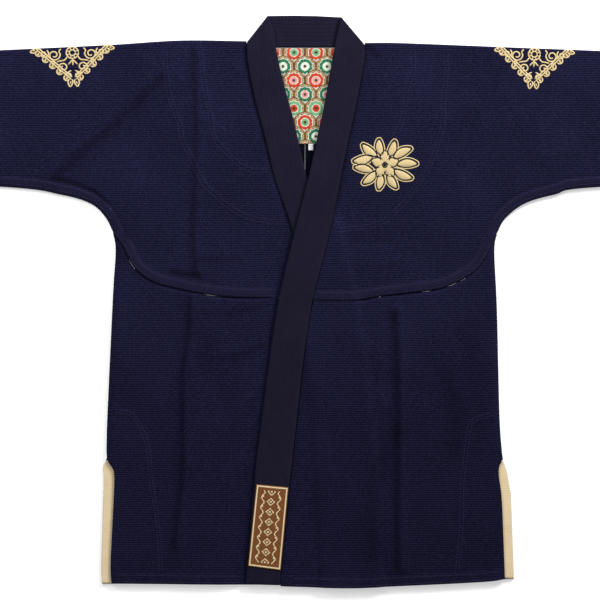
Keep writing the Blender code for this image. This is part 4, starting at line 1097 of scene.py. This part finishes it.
def size_tab():
    """A small blank tab that hangs from the lining's foot."""
    gx, gy = np.meshgrid(TAB_PLACE.x + np.linspace(0, TAB_SIZE[0], 10),
                         TAB_PLACE.y + np.linspace(0, TAB_SIZE[1], 14), indexing="ij")
    high, low = BACK_TOP + 2 * GAP + LINING + TAB, BACK_TOP + GAP + TAB + 0.6
    z = low + (high - low) * ease((gy - LINING_FOOT + 4) / 3)
    piece = cloth("size_tab_blank", np.dstack([gx, gy, z]), TAB, white, ["size_tab"])
    paint(piece, "woven", np.zeros((gx.size, 4)) + np.array(hexcolour("#EFEFF2")))
    return piece


lining_print, label_piece, tab = lining(), label(), size_tab()
tapes = [tape(f"vent_tape_{WORDS[side]}_cotton", outer, side)
         for side, outer in ((-1, BACK_SIDE_LEFT), (1, BACK_SIDE_RIGHT))]


def on_cloth(points, side, face, shift=0.0):
    """A sewn line on the cloth: a smooth path, moved sideways, with the height of the face below it."""
    line = line_of(points)
    line = at(line, np.linspace(0, 1, max(8, int(along(line)[-1] / 3))))
    run = np.gradient(line, axis=0)
    run /= np.linalg.norm(run, axis=1)[:, None]
    line = line + np.stack([-run[:, 1], run[:, 0]], -1) * shift
    return np.column_stack([line, face(line[:, 0], line[:, 1], side)])


def inside(line, ends):
    """A line without its ends, by distance."""
    far = along(line)
    return line[(far > ends[0]) & (far < far[-1] - ends[1])][::2]


def flat_below(x, y, side):
    """The height of the back's underside, for its sewing."""
    return 0.0 * x


def rows_along(line, ends, side, face, hand, distances):
    """Rows of stitches at these distances from a line, on the side that hand gives, without its ends."""
    return [on_cloth(inside(line, ends), side, face, hand * far) for far in distances]


seams = []
for side, outer, inner, vent in ((-1, YOKE_LEFT_OUTER, YOKE_LEFT_INNER, VENT_PATCH_LEFT),
                                 (1, YOKE_RIGHT_OUTER, YOKE_RIGHT_INNER, VENT_PATCH_RIGHT)):
    e = EDGES[side]
    seams += [on_cloth(path, side, upper_face, apart) for path in (outer, inner) for apart in YOKE_STITCHES]
    seams += [on_cloth(vent, side, skirt_face, apart) for apart in VENT_STITCHES]
    seams += rows_along(e.seam, (22, 4), side, upper_face, -side, FELLED_STITCHES)
    seams += rows_along(e.underarm, (4, 14), side, upper_face, -side, UNDERARM_STITCHES)
    seams += rows_along(e.hem, (4, 6), side, skirt_face, -side, HEM_STITCHES)
    seams += rows_along(e.cuff, (8, 6), side, upper_face, side, CUFF_STITCHES)
for side, outer in ((-1, YOKE_LEFT_OUTER), (1, YOKE_RIGHT_OUTER)):
    back_chest = line_of([Point(side * p.x, p.y) for p in BACK_SEAM])
    spine = np.array([(side * SPINE_STITCHES, 8.0), (side * SPINE_STITCHES, 372.0)])
    seams += [on_cloth(outer, side, flat_below, apart) for apart in YOKE_STITCHES]
    seams += rows_along(back_chest, (22, 4), side, flat_below, -side, FELLED_STITCHES)
    seams += rows_along(EDGES[side].cuff, (8, 6), side, flat_below, side, CUFF_STITCHES)
    seams.append(on_cloth(spine, side, flat_below))
seams += rows_along(line_of(HEM_BACK), (4, 4), -1, flat_below, 1, HEM_STITCHES)
cloth_stitches = stitches("sewing_body", seams, navy_thread)
band_stitches = stitches(
    "sewing_bands", band_rows(*under_lines) + band_rows(*top_lines) + band_rows(*neck, skip=6.0),
    drill_thread, thick=0.6)


def neck_binding():
    """Close threads over the neck band's lower edge, each across the edge."""
    low, high, _ = neck_lines()
    steps = np.arange(6.0, along(low)[-1] - 6.0, BINDING_PITCH) / along(low)[-1]
    foot, head = at(low, steps), at(high, steps)
    reach = (head - foot) / np.linalg.norm(head - foot, axis=1)[:, None]
    level = np.full((len(steps), 1), BAND * 0.93)
    return [np.array([np.append(f + r * BINDING_FROM, z), np.append(f + r * BINDING_TO, z)])
            for f, r, z in zip(foot, reach, level)]


binding = stitches("neck_band_binding", neck_binding(), drill_thread, 4.6, 5.0, 0.9)


def on_ridge(centre_x, hand, s, t, side):
    """Points of a sleeve's ornament: s runs along the ridge from its centre and t down from the ridge."""
    ridge = EDGES[side].ridge[:: -side]
    near = np.interp([centre_x - 40, centre_x + 40], ridge[:, 0], ridge[:, 1])
    x = centre_x + hand * s + (near[1] - near[0]) / 80 * t
    return x, np.interp(centre_x + hand * s, ridge[:, 0], ridge[:, 1]) - t


def scrollwork(centre_x, half, depth, side):
    """A half diamond of scrolls that hangs from the ridge: a rosette in the middle, and for each hand
    spirals, two border lines with arches along them and pointed leaves at the corner and the foot. Returns
    its lines, drawn for 60 mm each way and scaled."""
    k, q = half / 60.0, depth / 60.0
    spokes = [np.array([(5.0 * np.cos(a), 10 + 5.0 * np.sin(a)), (8.6 * np.cos(a), 10 + 8.6 * np.sin(a))])
              for a in np.radians(np.arange(22.5, 382.5, 45))]
    once = [arc(0, 10, 9.2, 0, 360), arc(0, 10, 4.6, 0, 360), *spokes,
            line_of([(0.0, 20.0), (0.0, 25.0), (0.0, 30.0)])]
    paired = [
        arc(27.5, 12.5, 2.4, 40, 560, 9.4), arc(14.5, 32.5, 2.0, -80, 430, 8.0),
        arc(42.5, 10.5, 1.6, 90, 500, 5.4), arc(6.6, 46.0, 1.4, -60, 380, 4.6),
        arc(30.0, 25.5, 1.2, 0, 380, 3.6),
        line_of([(8.0, 16.0), (12.0, 21.0), (18.0, 22.0), (24.0, 23.5)]),
        line_of([(0.0, 21.0), (4.0, 25.0), (7.0, 28.5)]), line_of([(17.0, 3.0), (20.0, 7.0), (18.5, 11.0)]),
        line_of([(36.0, 17.0), (37.0, 13.5), (35.5, 9.0), (38.0, 4.0)]),
        line_of([(14.0, 41.0), (10.5, 42.0), (3.0, 38.0)]),
        np.array([(54.0, 2.0), (3.0, 52.5)]), np.array([(50.0, 1.0), (2.0, 48.5)]),
        line_of([(50.0, 2.0), (56.0, 1.2), (63.0, 6.0), (57.5, 8.0), (52.0, 5.5)]),
        line_of([(2.0, 52.0), (1.2, 57.0), (5.5, 63.5), (8.5, 57.0), (6.5, 51.0)]),
        np.array([(55.5, 3.5), (59.0, 5.2)]), np.array([(4.0, 55.0), (5.2, 59.5)]),
    ]
    for f in np.linspace(0.1, 0.9, 5):
        s, t = 54 - 51 * f, 2 + 50.5 * f
        paired += [arc(s + 1.6, t + 1.6, 4.7, -50, 140), arc(s + 2.6, t + 2.6, 1.5, 0, 300)]
    lines = [on_ridge(centre_x, 1, line[:, 0] * k, line[:, 1] * q, side) for line in once]
    lines += [on_ridge(centre_x, hand, line[:, 0] * k, line[:, 1] * q, side)
              for line in paired for hand in (-1, 1)]
    return [np.stack(line, -1) for line in lines]


for side, centre, half, depth in ((-1, -349.5, 60.0, 57.0), (1, 344.25, 57.0, 58.0)):
    lines = scrollwork(centre, half, depth, side)
    strokes(f"sleeve_scrollwork_{WORDS[side]}", lines, [2.5] * len(lines),
                             lambda x, y, s=side: ridge_face(x, y, s), gold)


def chest_face(x, y):
    return upper_face(x, y, 1)


Leaf = namedtuple("Leaf", "x y length width heading bow")  # of its middle; bow is how far its spine bends
# The chest motif: a spray of leaves round a flower.
SPRAY = (
    Leaf(87.0, 214.0, 30.0, 12.0, 195.0, 2.0), Leaf(88.0, 198.0, 28.0, 11.0, 168.0, -1.5),
    Leaf(97.0, 227.0, 27.0, 12.0, 142.0, 2.0), Leaf(113.0, 231.0, 24.0, 11.0, 100.0, 1.5),
    Leaf(130.0, 229.0, 25.0, 11.0, 68.0, -1.5), Leaf(146.0, 222.0, 30.0, 12.0, 30.0, 2.0),
    Leaf(153.0, 206.0, 30.0, 12.0, 2.0, 1.5), Leaf(147.0, 191.0, 29.0, 12.0, -25.0, -2.0),
    Leaf(131.0, 181.0, 25.0, 11.0, -60.0, -1.5), Leaf(112.0, 180.0, 24.0, 11.0, 262.0, 1.0),
    Leaf(97.0, 186.0, 27.0, 11.0, 222.0, 1.5),
)
FLOWER = Point(120.0, 205.0)
PETAL_OUT = 10.5  # from the flower's middle to a petal's
PETALS = tuple(
    Leaf(FLOWER.x + PETAL_OUT * np.cos(np.radians(a)), FLOWER.y + PETAL_OUT * np.sin(np.radians(a)), 21.0, 14.0,
         a, 0.0) for a in (18, 90, 162, 234, 306))


def outline(x0, y0, length, width, heading, bow, out=0.5):
    """The line round one leaf, this far outside its edge."""
    u = np.concatenate([np.linspace(0, 1, 20), np.linspace(1, 0, 20)])
    hand = np.repeat([1.0, -1.0], 20)
    a = np.radians(heading)
    s = (u - 0.5) * (length + 2.4 * out)
    t = hand * (width / 2 * np.sin(np.pi * u) ** 0.75 + out) + bow * np.sin(np.pi * u)
    return np.stack([x0 + s * np.cos(a) - t * np.sin(a), y0 + s * np.sin(a) + t * np.cos(a)], -1)


motif = leaves("chest_spray_leaves", SPRAY + PETALS, chest_face, gold)
rims = [outline(*leaf) for leaf in SPRAY + PETALS]
far_rims = [outline(*leaf, out=2.2) for leaf in SPRAY]
motif_edge = strokes("chest_spray_edge", far_rims, [1.8] * len(far_rims), chest_face, gold,
                     0.45)
motif_rims = strokes("chest_spray_outline", rims, [2.0] * len(rims), chest_face, dark_thread,
                     0.65)
heart = [arc(*FLOWER, radius, 0, 360) for radius in (3.6, 1.2)]
motif_heart = strokes("chest_spray_heart", heart, [2.0, 2.0], chest_face, dark_thread, 1.5)

floor_material, _, floor_shader = new_material("white_paper_floor", Roughness=0.9, Specular_IOR_Level=0.1)
floor_shader.inputs["Base Color"].default_value = hexcolour("#FAFAFA")
floor_shader.inputs["Emission Color"].default_value = (1.0, 1.0, 1.0, 1.0)
floor_shader.inputs["Emission Strength"].default_value = 0.45  # a lit sweep, so the shadows on it stay pale
floor_mesh = bpy.data.meshes.new("floor")
FLOOR_HALF, FLOOR_Z = 6.0, -0.0004
corners = ((-1, -1), (1, -1), (1, 1), (-1, 1))
floor_mesh.from_pydata([(i * FLOOR_HALF, j * FLOOR_HALF, FLOOR_Z) for i, j in corners], [], [(0, 1, 2, 3)])
floor_mesh.materials.append(floor_material)
floor = bpy.data.objects.new("floor", floor_mesh)
bpy.context.scene.collection.objects.link(floor)

# The camera looks straight down from 2.5 m above the cloth, and 900 mm of it fill the frame.
camera_data = bpy.data.cameras.new("camera")
camera_data.lens, camera_data.sensor_width = 100.0, 36.0
camera = bpy.data.objects.new("camera", camera_data)
camera.location = (-0.0075, 0.00225, 2.506)
bpy.context.scene.collection.objects.link(camera)
bpy.context.scene.camera = camera

# Soft studio light: a low one from above right that brings out the folds, a near one from above left, and the
# room's own.
Lamp = namedtuple("Lamp", "name place aim size watts")
for lamp in (Lamp("key", (1.75, 2.35, 1.3), (0.0, 0.0, 0.0), 1.1, 150.0),
             Lamp("fill", (-0.95, 0.95, 1.2), (-0.1, 0.05, 0.0), 1.0, 16.0)):
    data = bpy.data.lights.new(lamp.name, "AREA")
    data.size, data.energy = lamp.size, lamp.watts
    light = bpy.data.objects.new(lamp.name, data)
    light.location = lamp.place
    away = np.array(lamp.place) - np.array(lamp.aim)
    flat = np.hypot(away[0], away[1])
    light.rotation_euler = (float(np.arctan2(flat, away[2])), 0.0, float(np.arctan2(away[0], -away[1])))
    bpy.context.scene.collection.objects.link(light)
world = bpy.data.worlds.new("room")
bpy.context.scene.world = world
world.use_nodes = True
world.node_tree.nodes["Background"].inputs["Color"].default_value = (1.0, 1.0, 1.0, 1.0)
world.node_tree.nodes["Background"].inputs["Strength"].default_value = 0.2
bpy.context.scene.view_settings.view_transform = "Standard"
